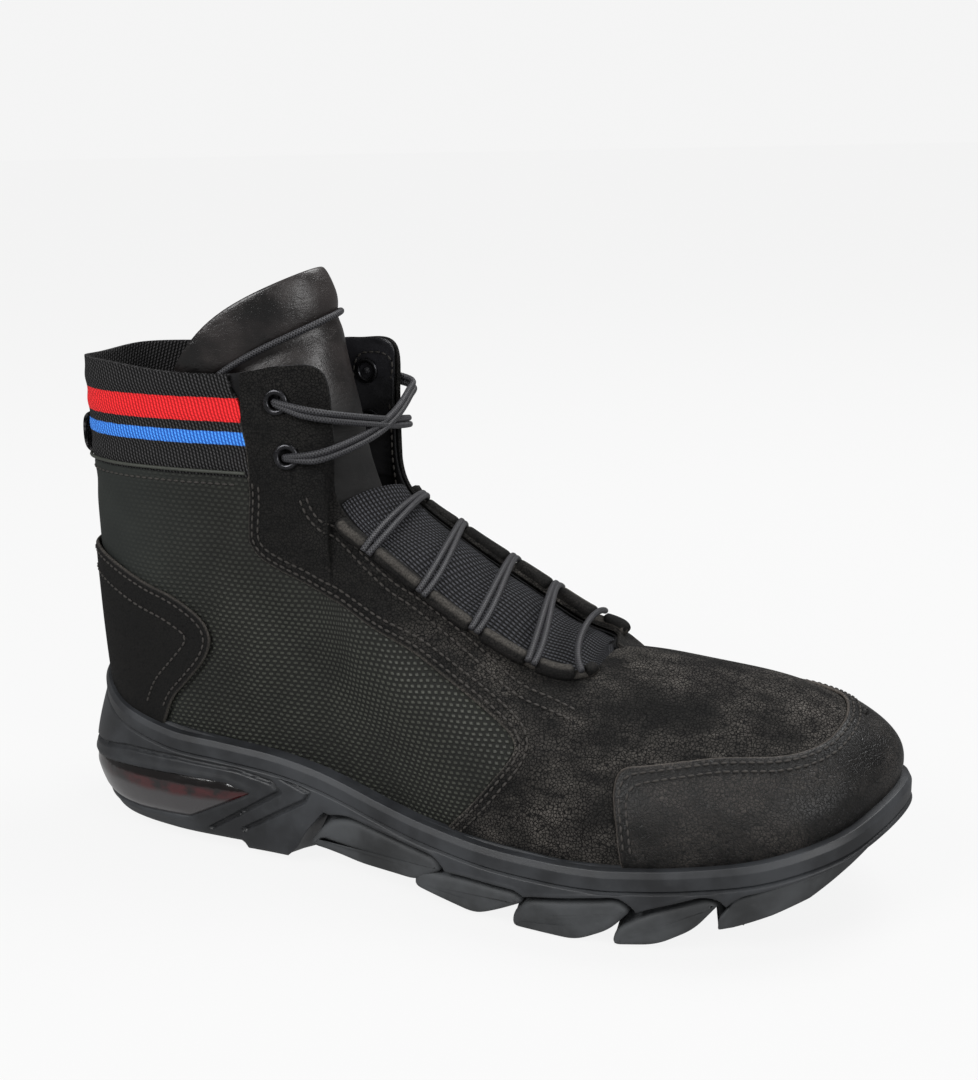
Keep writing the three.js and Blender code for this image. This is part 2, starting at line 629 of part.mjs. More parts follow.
const GUSSET_ROWS = 8;
const gussetGrid = Array.from({ length: GUSSET_ROWS + 1 }, (_, k) =>
  gussetRow(GUSSET_FROM + ((GUSSET_TO - GUSSET_FROM) * k) / GUSSET_ROWS));

// The tongue, one row per section from its toe end up: centre x and z, half width and depth
// of the arch, in per cent of the length, the collar height, the ball half width and the length
const TONGUE_ROWS = [
  [64, 35, 30, 1], [54.5, 43, 40, 1.67], [46.5, 53, 40, 2.67], [40.5, 64, 40, 4.33],
  [37.3, 78, 40, 7.33], [36.3, 92, 42, 11.33], [35, 104, 45, 16], [34, 111, 47, 18],
  [32.8, 118.8, 47, 17.33],
];
const TONGUE_SPREAD = 0.92;
const TONGUE_WING_DROP = shareZ(15.9);
const tongueCentres = new THREE.CatmullRomCurve3(
  TONGUE_ROWS.map(([x, z]) => new THREE.Vector3(shareX(x), 0, shareZ(z))));

function tonguePoint(row, u) {
  const place = row / (TONGUE_ROWS.length - 1);
  const centre = tongueCentres.getPoint(place);
  const path = tongueCentres.getTangent(place);
  const back = new THREE.Vector3(-path.z, 0, path.x);
  if (back.x > 0) {
    back.negate();
  }
  const low = TONGUE_ROWS[Math.floor(row)];
  const high = TONGUE_ROWS[Math.min(Math.floor(row) + 1, TONGUE_ROWS.length - 1)];
  const mix = row - Math.floor(row);
  const half = shareY(THREE.MathUtils.lerp(low[2], high[2], mix));
  const depth = shareX(THREE.MathUtils.lerp(low[3], high[3], mix));
  const angle = u * TONGUE_SPREAD * Math.PI / 2;
  const curl = 1 - Math.cos(angle);
  return centre.addScaledVector(back, depth * curl)
    .add(new THREE.Vector3(0, half * Math.sin(angle), -TONGUE_WING_DROP * place * place * curl));
}

const TONGUE_COLUMNS = 8;
const TONGUE_STEPS = 12;
const tongueGrid = Array.from({ length: TONGUE_STEPS + 1 }, (_, k) =>
  Array.from({ length: TONGUE_COLUMNS + 1 }, (_, c) =>
    tonguePoint((k * (TONGUE_ROWS.length - 1)) / TONGUE_STEPS, (2 * c) / TONGUE_COLUMNS - 1)));

function makeTongue() {
  const gussetRoom = sheet(gussetGrid, GUSSET_THICKNESS + 2 * CLEARANCE + 0.4);
  return mainBody(sheet(tongueGrid, TONGUE_THICKNESS).intersect(insideClear).subtract(gussetRoom));
}

// The insole is a slab on the footbed, trimmed to the inside of the upper
function makeInsole() {
  const steps = [-1, 8, 20, 35, 44, 52, 59, 66, 73, 80, 85, 90, 95, 100];
  const line = (rise) => steps.map((percent) => [shareX(percent), footbed(shareX(percent)) + rise]);
  const slab = [...line(CLEARANCE), ...line(CLEARANCE + INSOLE_THICKNESS).reverse()];
  return mainBody(fullWidth(slab).intersect(insideClear));
}

// A lace bar leaves the notch in one rolled edge along its floor, arches over the gusset
// and enters the notch in the other: one or two strands
const BAR_HANDLE = 12;
function laceBar(pair, strands, radius = LACE_RADIUS, reach = 0) {
  const ends = barEnds(pair).map((place) => {
    const { across, up } = rollFrame(place);
    const start = rollPoint(place).addScaledVector(up, NOTCH_FLOOR + 3 * CLEARANCE + LACE_RADIUS);
    const inward = across.multiplyScalar(-Math.sign(across.y * start.y));
    const end = start.clone().addScaledVector(inward, -reach);
    return [end, start.clone().addScaledVector(inward, BAR_HANDLE)];
  });
  const arch = new THREE.CubicBezierCurve3(ends[0][0], ends[0][1], ends[1][1], ends[1][0]);
  const along = rollFrame(pair[0]).ahead.clone().setY(0).normalize();
  const parts = Array.from({ length: strands }, (_, k) => {
    const shift = (k - (strands - 1) / 2) * STRAND_PITCH;
    return tube(arch.getPoints(6).map((point) => point.addScaledVector(along, shift)), radius, 8, 6);
  });
  return parts.reduce((body, part) => body.add(part));
}

// The crossed strands between the two pairs of eyelets, joined where they meet, in per cent of
// the length, the ball half width and the collar height
const CROSS_ROUTES = [
  [
    [32.67, -61, 93.82], [36.67, -53, 92.94], [40, -20, 90.59], [40.5, 12, 88.53],
    [39.67, 44, 86.76], [36.83, 61, 85.29],
  ],
  [
    [34.33, -63, 84.41], [37.33, -55, 85.29], [40, -24, 87.65], [40.67, 8, 90],
    [40.33, 38, 92.94], [39.5, 52, 94.41], [36.83, 61, 95.59],
  ],
];

function makeCrossing() {
  const strands = CROSS_ROUTES.map((route) =>
    tube(route.map(([x, y, z]) => new THREE.Vector3(shareX(x), shareY(y), shareZ(z))), LACE_RADIUS, 8, 10));
  return strands[0].add(strands[1]);
}

// A cord lies across the front of the tongue above the collar
const CORD_LINE = [[5.6, -0.72], [5.9, -0.45], [6.2, -0.15], [6.45, 0.15], [6.6, 0.45]];

function makeTongueCord() {
  const points = CORD_LINE.map(([row, u]) => {
    const up = tonguePoint(row + 0.1, u).sub(tonguePoint(row - 0.1, u));
    const across = tonguePoint(row, u + 0.05).sub(tonguePoint(row, u - 0.05));
    const out = across.cross(up).normalize();
    return tonguePoint(row, u).addScaledVector(out, TONGUE_THICKNESS / 2 + LACE_RADIUS + 2 * CLEARANCE);
  });
  return tube(points, LACE_RADIUS, 8, 8);
}

const soleRoom = soleForm(CLEARANCE, 2 * CLEARANCE, FINE_COLUMNS, CLEARANCE);
const windowRoom = fullWidth(windowOutline)
  .subtract(soleForm(-WINDOW_DEPTH - CLEARANCE, 0, COARSE_COLUMNS));

function makeMidsole() {
  const grooves = SIDE_GROOVES.map((line) => ribbon(line, SIDE_GROOVE_WIDTH));
  const body = soleForm(0).subtract(clearOfUpper).subtract(windowRoom);
  const core = soleForm(-SIDE_GROOVE_DEPTH, 0, COARSE_COLUMNS);
  return mainBody(grooves.reduce((solid, groove) => solid.subtract(groove.subtract(core)), body));
}

function makeHeelCushion() {
  const ring = soleForm(-1).subtract(soleForm(-WINDOW_DEPTH, 0, COARSE_COLUMNS));
  return mainBody(ring.intersect(fullWidth(windowPiece)));
}

function makeOutsole() {
  const carrier = underForm(5, 0, SOLE_SHEET);
  const reach = underForm(0, 3, 0);
  const lugs = LUGS.flatMap((outline) => [
    sideCut(outline, -OUTSIDE, -LUG_CHANNEL), sideCut(outline, LUG_CHANNEL, OUTSIDE),
  ]);
  const tread = lugs.reduce((body, lug) => body.add(lug), fullWidth(heelPadOutline)).intersect(reach);
  return mainBody(carrier.add(tread).subtract(soleRoom));
}

// The pull loop is a folded strap on the back of the heel
function makePullLoop() {
  const x = shareX(2.6);
  const z = shareZ(83);
  const half = LOOP_HEIGHT / 2;
  const outerLine = [
    [x + 4, z + half], [x - 3, z + 0.94 * half], [x - 6.5, z + 0.56 * half], [x - 7, z - 0.44 * half],
    [x - 4, z - 0.89 * half], [x + 4, z - half],
  ];
  const innerLine = [
    [x + 4, z - half + LOOP_STRAP], [x - 3.4, z - 0.76 * half], [x - 5.6, z - 0.4 * half],
    [x - 5.1, z + 0.49 * half], [x - 2.4, z + 0.79 * half], [x + 4, z + half - LOOP_STRAP],
  ];
  const strap = sideCut([...outerLine, ...innerLine], -LOOP_WIDTH / 2, LOOP_WIDTH / 2);
  return mainBody(strap.subtract(clearOfUpper));
}

addPiece("midsole", makeMidsole(), RUBBER);
addPiece("outsole", makeOutsole(), RUBBER);
addPiece("heel_cushion", makeHeelCushion(), CUSHION);
addPiece("upper", makeUpper(), NUBUCK);
addPiece("cuff", makeCuff(), WEBBING);
addPiece("toe_cap", makeOverlay(toeCapOutline), GRAIN_LEATHER);
addPiece("heel_counter", makeOverlay(counterOutline), NUBUCK);
addPiece("throat_roll_outer", throatRoll(0, ROLL_FROM_OUTER), NUBUCK);
addPiece("throat_roll_inner", throatRoll(1, ROLL_FROM_INNER), NUBUCK);
addPiece("gusset", mainBody(sheet(gussetGrid, GUSSET_THICKNESS).intersect(insideClear)), MESH_CLOTH);
addPiece("tongue", makeTongue(), SMOOTH_LEATHER);
addPiece("insole", makeInsole(), WEBBING);
addPiece("pull_loop", makePullLoop(), WEBBING);
EYELETS.forEach((eyelet) => addPiece(eyelet.name, makeEyelet(eyelet), GUNMETAL));
NOTCHES.forEach((pair, k) => addPiece(`lace_bar_${k + 1}`, laceBar(pair, k < 4 ? 2 : 1), CORD));

addPiece("lace_crossing", makeCrossing(), CORD);
addPiece("tongue_cord", makeTongueCord(), CORD);

// Centre the boot over the origin, with the ground at z = 0
const box = new THREE.Box3().setFromObject(boot);
const middle = box.getCenter(new THREE.Vector3());
boot.position.set(-middle.x, -middle.y, -box.min.z);
boot.updateMatrixWorld(true);

export default boot;
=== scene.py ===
"""A right-foot high-top lace-up boot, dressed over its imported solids.

Lengths are typed in millimetres in the boot's own sizes: x runs from the heel to the toe, the
outer side of the foot is at -y and z is measured from the ground. Finished pieces are in metres.
"""
import logging
import math
from dataclasses import dataclass, field
from enum import Enum
from functools import reduce
from typing import Callable, Sequence

import bmesh
import bpy
import numpy as np
from mathutils import Matrix, Vector


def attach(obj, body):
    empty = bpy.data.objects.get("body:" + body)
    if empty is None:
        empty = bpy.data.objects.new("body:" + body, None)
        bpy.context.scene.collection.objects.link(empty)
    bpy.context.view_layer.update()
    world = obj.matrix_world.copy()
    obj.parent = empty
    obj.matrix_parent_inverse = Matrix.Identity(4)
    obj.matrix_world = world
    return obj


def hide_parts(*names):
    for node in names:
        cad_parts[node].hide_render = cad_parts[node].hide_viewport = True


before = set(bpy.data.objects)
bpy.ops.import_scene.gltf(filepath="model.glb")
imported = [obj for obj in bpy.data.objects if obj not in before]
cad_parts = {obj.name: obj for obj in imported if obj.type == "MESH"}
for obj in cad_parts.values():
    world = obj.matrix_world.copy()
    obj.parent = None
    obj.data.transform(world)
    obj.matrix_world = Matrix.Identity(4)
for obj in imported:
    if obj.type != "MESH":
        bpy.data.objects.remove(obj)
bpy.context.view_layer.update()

LOG = logging.getLogger("boot")
SHIFT = np.array([-149.0, 3.0, 0.0])
Array = np.ndarray
Socket, Object, Material = bpy.types.NodeSocket, bpy.types.Object, bpy.types.Material
Field = Callable[[Array, Array], Array]
Place = Callable[[Array, Array, Array], Array]


class Side(Enum):
    """The two sides of the foot, with the sign of y on each."""

    OUTER = -1
    INNER = 1

    def turn(self, t: Array | float) -> Array | float:
        """Places t counted from the heel on this side, as places once round the foot."""
        return t if self is Side.OUTER else TURN - t


@dataclass(frozen=True)
class Sizes:
    """The named sizes of the boot, in millimetres."""

    length: float = 300.0
    ball: float = 50.0
    collar: float = 170.0
    wall: float = 2.6
    quarter_step: float = 0.7
    overlay: float = 1.4
    cuff_seam: float = 136.0
    rim_height: float = 5.2
    rim_groove: float = 1.3
    below_rim: float = 7.6
    lace: float = 1.1
    hide: float = 1.3
    overlay_hide: float = 1.7
    elastic: float = 1.7
    liner: float = 0.5
    lining: float = 0.4
    pad: float = 2.8
    knit: float = 0.8
    strap: float = 1.3
    gel: float = 1.2
    toe_lug: float = 9.0


SIZES = Sizes()

# Ribs of the last from heel to toe, in per cent of length, ball half width and collar height:
# base x, y outer, y inner, z, top x outer, x inner, y outer, y inner, axis, z outer, z inner,
# rise, bulge, shoulder, drop, lean
RIBS = (
    (2.8, 0, 0, 33.5, 2.2, 2.2, 0, 0, 0, 100, 100, 26.5, 2, -2, 23.5, 0),
    (4.3, 35, 34, 31.5, 3.8, 3.8, 35, 36, 0, 100.6, 100.6, 25.3, 4, -2, 23.5, 0),
    (9, 59, 57, 27.6, 10, 10, 54, 54, 0, 100.3, 100.6, 23.5, 6, -4, 22.4, 0),
    (16.7, 71, 65, 25, 18, 18, 58, 58, 0, 99.1, 100.6, 22.4, 6, -2, 22.4, 0),
    (24, 74, 66, 24.4, 26, 26, 56, 56, 0, 99.1, 101.2, 21.2, 4, 0, 22.4, 0),
    (30.7, 75, 64, 23.6, 32.3, 32.7, 52, 52, 0, 100.9, 102.4, 20, 4, 2, 21.2, 0),
    (36, 77.5, 64, 22.4, 36.7, 38.3, 44, 48, 0, 99.4, 101.2, 18.8, 4, 4, 20, 0.7),
    (40.7, 81, 65, 20.7, 37.7, 38.3, 44, 48, 0, 86.5, 85.9, 17.6, 4, 7, 15.3, 2.2),
    (46, 88, 69, 18.8, 38, 39.3, 44, 48, 0, 73.5, 71.8, 16.5, 6, 12, 10.6, 2),
    (52, 96, 77, 17.1, 44, 46.3, 44, 46, 0, 64.4, 62.4, 15.3, 8, 20, 5.9, 1),
    (59.3, 103, 86, 15.7, 52.7, 54.3, 42, 42, 0, 52.9, 54.7, 14.1, 8, 24, 3.5, 0.3),
    (66, 106, 91, 15.3, 61.3, 61.7, 38, 36, 0, 44.7, 48.2, 12.9, 8, 26, 1.8, 0),
    (70.3, 106, 94, 15.3, 66, 66.3, 28, 26, 2, 43.5, 46.5, 12.4, 8, 32, 1.2, 0),
    (73.7, 104, 94, 15.6, 68.3, 68.3, 0, 0, 4, 45.9, 45.9, 12.4, 8, 44, 0.6, 0),
    (80, 96, 92, 16.5, 76.7, 76.7, 0, 0, 6, 44.4, 44.4, 11.8, 8, 44, 0.6, 0),
    (87, 82, 82, 18.2, 83.7, 83.7, 0, 0, 10, 42.6, 42.6, 11.2, 8, 40, 0.6, 0),
    (93, 56, 62, 20.9, 89, 89, 0, 0, 12, 40.6, 40.6, 9.4, 8, 30, 1.8, 0),
    (96.3, 24, 41, 23.5, 92.4, 92.4, 0, 0, 14, 37.9, 37.9, 8.2, 6, 22, 2.4, 0),
    (97.8, -14, 14, 24.7, 94, 94, 0, 0, 14, 36.5, 36.5, 7.1, 6, 18, 3.5, 0),
)
HALF = len(RIBS) - 1
TURN = 2 * HALF
CLOSED = 13.0


def to_frame(points: Array) -> Array:
    """Millimetres of the boot's own sizes as metres of the row frame."""
    return (points + SHIFT) / 1000.0


def unit(v: Array) -> Array:
    """Rows of v at length one."""
    return v / np.maximum(np.linalg.norm(v, axis=-1, keepdims=True), 1e-9)


def arc(a: Array, b: Array, c: Array, d: Array, f: Array) -> Array:
    """Values from b (f = 0) to c (f = 1) on the smooth curve through all four."""
    return 0.5 * (2 * b + (c - a) * f + (2 * a - 5 * b + 4 * c - d) * f**2 + (3 * b - a - 3 * c + d) * f**3)


def run_length(points: Array) -> Array:
    """How far along a line each of its points lies."""
    return np.concatenate([[0], np.cumsum(np.linalg.norm(np.diff(points, axis=0), axis=1))])


def round_drop(f: Array) -> Array:
    """The drop of a round edge: 1 at its border (f = 0), 0 where it ends (f = 1)."""
    return 1 - np.sqrt(np.clip(1 - (1 - np.clip(f, 0, 1)) ** 2, 0, 1))


def curve_through(rows: Array, t: Array, closed: bool = True) -> tuple[Array, Array]:
    """Smooth values between rows and their rate of change.

    Args:
        rows: one row of numbers for each whole t.
        t: places along the rows.
        closed: whether the last row leads back to the first.

    Returns:
        The values and the rates at t.
    """
    n = len(rows)
    i = np.floor(t).astype(int)
    if not closed:
        i = np.clip(i, 0, n - 2)
    f = (t - i)[:, None]
    pick = [(i + k) % n if closed else np.clip(i + k, 0, n - 1) for k in (-1, 0, 1, 2)]
    a, b, c, d = (rows[p] for p in pick)
    rate = 0.5 * (c - a + 2 * (2 * a - 5 * b + 4 * c - d) * f + 3 * (3 * b - a - 3 * c + d) * f**2)
    return arc(a, b, c, d, f), rate


class Last:
    """The skin of the last: t runs round the foot over its ribs, s from the sole (0) to the top (1)."""

    def __init__(self, sizes: Sizes) -> None:
        """Turns the rib table into millimetres, once round the foot."""
        self.loop = np.array([self._row(k if k <= HALF else TURN - k, k <= HALF, sizes) for k in range(TURN)])

    @staticmethod
    def _row(k: int, outer: bool, z: Sizes) -> list[float]:
        """One rib on one side, in millimetres."""
        bx, byl, bym, bz, txl, txm, tyl, tym, axis, tzl, tzm, rise, bulge, shoulder, drop, lean = RIBS[k]
        sign = -1 if outer else 1
        x, y, h = z.length / 100, z.ball / 100, z.collar / 100
        return [
            bx * x, 0.0 if k == 0 else sign * (byl if outer else bym) * y, bz * h,
            (txl if outer else txm) * x, (axis + sign * (tyl if outer else tym)) * y,
            (tzl if outer else tzm) * h, axis * y, rise * h, bulge * y, shoulder * y, drop * h, lean * x,
        ]

    def rib(self, t: Array) -> tuple[Array, ...]:
        """The four control points of the ribs at t, and the outward direction in plan."""
        v, rate = curve_through(self.loop, t)
        out = unit(np.stack([rate[:, 1], -rate[:, 0], np.zeros(len(t))], 1))
        base, top = v[:, 0:3].copy(), v[:, 3:6].copy()
        place = np.mod(t, TURN)
        shut = (place >= CLOSED) & (place <= TURN - CLOSED)
        other, _ = curve_through(self.loop, TURN - t)
        top[shut, 0] = (v[shut, 3] + other[shut, 3]) / 2
        top[shut, 1] = v[shut, 6]
        top[shut, 2] = (v[shut, 5] + other[shut, 5]) / 2
        lower = base + out * v[:, 8:9]
        lower[:, 2] += v[:, 7]
        upper = top + out * v[:, 9:10]
        upper[:, 2] -= v[:, 10]
        upper[:, 0] -= v[:, 11]
        return base, lower, upper, top, out

    def skin(self, t: Array, s: Array) -> Array:
        """Points of the skin, in millimetres."""
        base, lower, upper, top, _ = self.rib(t)
        f = s[:, None]
        g = 1 - f
        return base * g**3 + 3 * lower * g * g * f + 3 * upper * g * f * f + top * f**3

    def normal(self, t: Array, s: Array) -> Array:
        """Outward directions of the skin."""
        step = 0.02
        level = np.clip(s, step, 1 - step)
        along = self.skin(t + step, level) - self.skin(t - step, level)
        up = self.skin(t, level + step) - self.skin(t, level - step)
        n = unit(np.cross(along, up))
        place = np.mod(t, TURN)
        ridge = (place >= CLOSED) & (place <= TURN - CLOSED) & (s > 0.999)
        n[ridge, 1] = 0
        return unit(n)

    def at(self, t: Array, s: Array, offset: float) -> Array:
        """Points at an offset from the skin, in millimetres."""
        return self.skin(t, s) + self.normal(t, s) * offset

    def spot(self, t: float, s: float, offset: float) -> Array:
        """One point at an offset from the skin, in millimetres."""
        return self.at(np.array([t]), np.array([s]), offset)[0]

    def spread(self, start: float, end: float, pitch: float) -> Array:
        """Places t from start to end about pitch millimetres apart along the foot."""
        fine = np.linspace(start, end, 400)
        path = self.skin(fine, np.full(400, 0.45))
        run = np.concatenate([[0], np.cumsum(np.linalg.norm(np.diff(path, axis=0), axis=1) + 0.02)])
        count = max(int(run[-1] / pitch), 4)
        return np.interp(np.linspace(0, run[-1], count + 1), run, fine)

    def locate(self, x: Array, z: Array, side: Side) -> tuple[Array, Array]:
        """The t and s of points seen from the side at x and z."""
        fine_t, fine_s = np.linspace(0.6, 17.6, 170), np.linspace(0, 1, 60)
        gt, gs = (a.ravel() for a in np.meshgrid(fine_t, fine_s))
        grid = self.skin(side.turn(gt), gs)
        best = [int(np.argmin((grid[:, 0] - px) ** 2 + (grid[:, 2] - pz) ** 2)) for px, pz in zip(x, z)]
        t, s = gt[best], gs[best]
        for _ in range(6):
            p = self.skin(side.turn(t), s)
            dt = (self.skin(side.turn(t + 0.01), s) - p) / 0.01
            ds = (self.skin(side.turn(t), np.clip(s + 0.01, 0, 2)) - p) / 0.01
            ex, ez = x - p[:, 0], z - p[:, 2]
            det = dt[:, 0] * ds[:, 2] - dt[:, 2] * ds[:, 0]
            det = np.where(np.abs(det) < 1e-6, 1e-6, det)
            t = t + np.clip((ex * ds[:, 2] - ez * ds[:, 0]) / det, -0.3, 0.3)
            s = np.clip(s + np.clip((dt[:, 0] * ez - dt[:, 2] * ex) / det, -0.1, 0.1), 0, 1)
        return side.turn(t), s


LAST = Last(SIZES)


def smooth_line(points: Sequence[Sequence[float]], steps: int) -> Array:
    """A smooth open line through typed points, with so many steps between them."""
    rows = np.array(points, dtype=float)
    count = len(rows) - 1
    return curve_through(rows, np.linspace(0, count, count * steps + 1), False)[0]


def rounded_outline(points: Sequence[Sequence[float]], radius: float, steps: int = 6) -> Array:
    """A closed outline with each corner replaced by a soft arc."""
    b = np.array(points, dtype=float)
    a, c = np.roll(b, 1, 0) - b, np.roll(b, -1, 0) - b
    reach = np.minimum(radius, 0.45 * np.minimum(np.linalg.norm(a, axis=1), np.linalg.norm(c, axis=1)))[:, None]
    start, end = b + unit(a) * reach, b + unit(c) * reach
    f = np.linspace(0, 1, steps + 1)[None, :, None]
    return (start[:, None] * (1 - f) ** 2 + 2 * b[:, None] * f * (1 - f) + end[:, None] * f**2).reshape(-1, 2)


def line_distance(line: Array, points: Array) -> Array:
    """Distance from points seen from the side to an open line, in millimetres."""
    x, z = points[:, 0], points[:, -1]
    best = np.full(x.shape, 1e9)
    for (ax, az), (bx, bz) in zip(line[:-1], line[1:]):
        dx, dz = bx - ax, bz - az
        f = np.clip(((x - ax) * dx + (z - az) * dz) / max(dx * dx + dz * dz, 1e-9), 0, 1)
        best = np.minimum(best, np.hypot(x - ax - f * dx, z - az - f * dz))
    return best


def polygon_depth(outline: Array, points: Array) -> Array:
    """How deep points seen from the side lie in a closed outline, in millimetres; negative outside."""
    x, z = points[:, 0], points[:, -1]
    ring = np.vstack([outline, outline[:1]])
    inside = np.zeros(x.shape, dtype=bool)
    for (ax, az), (bx, bz) in zip(ring[:-1], ring[1:]):
        if abs(bz - az) > 1e-9:
            inside ^= ((az > z) != (bz > z)) & (x < ax + (z - az) * (bx - ax) / (bz - az))
    depth = line_distance(ring, points)
    return np.where(inside, depth, -depth)


class Sheet:
    """A grid over two surface coordinates that can be cut along the level lines of a field."""

    def __init__(self, us: Array, vs: Array) -> None:
        """Makes the grid: one column for each u and one row for each v."""
        self.bm = bmesh.new()
        bmesh.ops.create_grid(self.bm, x_segments=len(us) - 1, y_segments=len(vs) - 1, size=0.5)
        nu, nv = len(us) - 1, len(vs) - 1
        for v in self.bm.verts:
            i, j = round((v.co.x + 0.5) * nu), round((v.co.y + 0.5) * nv)
            v.co = (0.0, us[i], vs[j] * 10.0)

    def _uv(self) -> tuple[Array, Array]:
        """The surface coordinates of all vertices."""
        co = np.array([v.co[:] for v in self.bm.verts])
        return co[:, 1], co[:, 2] / 10.0

    def cut(self, depth: Field, levels: Sequence[float], drop: bool = False) -> list[list[Array]]:
        """Adds edge lines where a field has the given values.

        Args:
            depth: the field over the surface coordinates.
            levels: the values to cut at.
            drop: whether what lies below the first level is removed.

        Returns:
            For each level, its lines as arrays of surface coordinates.
        """
        u, v = self._uv()
        for vert, d in zip(self.bm.verts, depth(u, v)):
            vert.co.x = d
        found = []
        for k, level in enumerate(levels):
            parts = self.bm.verts[:] + self.bm.edges[:] + self.bm.faces[:]
            made = bmesh.ops.bisect_plane(
                self.bm, geom=parts, dist=1e-4, plane_co=(level, 0, 0), plane_no=(1, 0, 0),
                clear_inner=drop and k == 0, clear_outer=False,
            )
            edges = [e for e in made["geom_cut"] if isinstance(e, bmesh.types.BMEdge)]
            found.append(chains(edges))
        return found

    def place(self, name: str, where: Place, depth: Field | None = None, weld: float = 0.02,
              flip: bool = False, uv: Callable[..., Array] | None = None) -> Object:
        """Moves the grid onto its surface and makes it an object.

        Args:
            name: the piece's name.
            where: millimetre positions from u, v and depth.
            depth: the field kept as the attribute "edge".
            weld: vertices nearer than this many millimetres are joined.
            flip: whether the faces are turned round.
            uv: gives each vertex its place in the UV map.

        Returns:
            The new object, riding on the root body.
        """
        u, v = self._uv()
        if uv:
            chart, flat = self.bm.loops.layers.uv.new("UVMap"), uv(u, v)
            self.bm.verts.index_update()
            for face in self.bm.faces:
                for loop in face.loops:
                    loop[chart].uv = flat[loop.vert.index]
        d = depth(u, v) if depth else np.zeros(len(u))
        layer = self.bm.verts.layers.float.new("edge")
        for vert, p, e in zip(self.bm.verts, to_frame(where(u, v, d)), d):
            vert.co = p
            vert[layer] = e
        bmesh.ops.remove_doubles(self.bm, verts=self.bm.verts[:], dist=weld / 1000)
        if flip:
            bmesh.ops.reverse_faces(self.bm, faces=self.bm.faces[:])
        return finish_mesh(name, self.bm)


def chains(edges: list[bmesh.types.BMEdge]) -> list[Array]:
    """Loose edges as ordered lines of surface coordinates."""
    left = set(edges)
    near: dict[bmesh.types.BMVert, list[bmesh.types.BMEdge]] = {}
    for e in edges:
        for v in e.verts:
            near.setdefault(v, []).append(e)
    ends = [v for v, es in near.items() if len(es) == 1]
    lines = []
    for start in ends + list(near):
        line, v = [start], start
        while True:
            step = next((e for e in near[v] if e in left), None)
            if step is None:
                break
            left.discard(step)
            v = step.other_vert(v)
            line.append(v)
        if len(line) > 3:
            lines.append(np.array([(p.co.y, p.co.z / 10.0) for p in line]))
    return lines


def finish_mesh(name: str, bm: bmesh.types.BMesh, smooth: bool = True) -> Object:
    """Turns a bmesh into a smooth-shaded object that rides on the root body."""
    mesh = bpy.data.meshes.new(name)
    for f in bm.faces:
        f.smooth = smooth
    bm.to_mesh(mesh)
    bm.free()
    obj = bpy.data.objects.new(name, mesh)
    bpy.context.scene.collection.objects.link(obj)
    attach(obj, "root")
    LOG.info("%s: %d faces", name, len(mesh.polygons))
    return obj


def thicken(obj: Object, wall: float, bevel: float = 0.0) -> Object:
    """Gives a sheet its wall, in millimetres, and softens its rim."""
    m = obj.modifiers.new("wall", "SOLIDIFY")
    m.thickness, m.offset, m.use_even_offset = wall / 1000, -1.0, False
    if bevel:
        b = obj.modifiers.new("rim", "BEVEL")
        b.width, b.segments, b.limit_method, b.angle_limit = bevel / 1000, 2, "ANGLE", math.radians(50)
    return obj


def dress(obj: Object, material: Material, slot: str, *nodes: str) -> Object:
    """Gives a piece its material and hides the imported solids that it stands for."""
    obj.data.materials.clear()
    obj.data.materials.append(material)
    if nodes:
        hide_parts(*nodes)
    return obj


def resample(points: Array, pitch: float) -> Array:
    """Evenly spaced points along a line, pitch apart."""
    run = run_length(points)
    count = max(int(run[-1] / pitch), 1)
    at = np.linspace(0, run[-1], count + 1)
    return np.stack([np.interp(at, run, points[:, k]) for k in range(points.shape[1])], 1)


def tube(name: str, path: Array, radius: float | Array, around: int = 12, braid: float = 0.0) -> Object:
    """A round cord along a path.

    Args:
        name: the piece's name.
        path: points in millimetres, evenly spaced.
        radius: radius in millimetres, one or one for each point.
        around: vertices round the cord.
        braid: depth of the braided relief as a share of the radius.

    Returns:
        The tube, with caps and a UV map in millimetres along and round it.
    """
    ahead = unit(np.gradient(path, axis=0))
    side = np.zeros_like(path)
    ref = np.array([0.0, 0.0, 1.0]) if abs(ahead[0][2]) < 0.8 else np.array([1.0, 0.0, 0.0])
    prev = unit(np.cross(ahead[0], ref)[None])[0]
    for k, a in enumerate(ahead):
        prev = prev - a * float(prev @ a)
        prev = prev / np.linalg.norm(prev)
        side[k] = prev
    other = np.cross(ahead, side)
    n = len(path) - 1
    bm = bmesh.new()
    bmesh.ops.create_grid(bm, x_segments=n, y_segments=around, size=0.5)
    pitch = float(np.linalg.norm(path[1] - path[0])) if n else 1.0
    uv = bm.loops.layers.uv.new("UVMap")
    for f in bm.faces:
        for loop in f.loops:
            loop[uv].uv = ((loop.vert.co.x + 0.5) * n * pitch, (loop.vert.co.y + 0.5) * around)
    for v in bm.verts:
        i, j = round((v.co.x + 0.5) * n), round((v.co.y + 0.5) * around)
        angle = 2 * math.pi * j / around
        swell = 1.0 + braid * math.cos(2 * angle + i * pitch * 2.1) * math.cos(2 * angle - i * pitch * 2.1)
        r = (radius if isinstance(radius, float) else radius[i]) * swell
        p = path[i] + r * (side[i] * math.cos(angle) + other[i] * math.sin(angle))
        v.co = to_frame(p)
    bmesh.ops.remove_doubles(bm, verts=bm.verts[:], dist=1e-6)
    rims = [e for e in bm.edges if e.is_boundary]
    bmesh.ops.holes_fill(bm, edges=rims, sides=0)
    bmesh.ops.recalc_face_normals(bm, faces=bm.faces[:])
    return finish_mesh(name, bm)


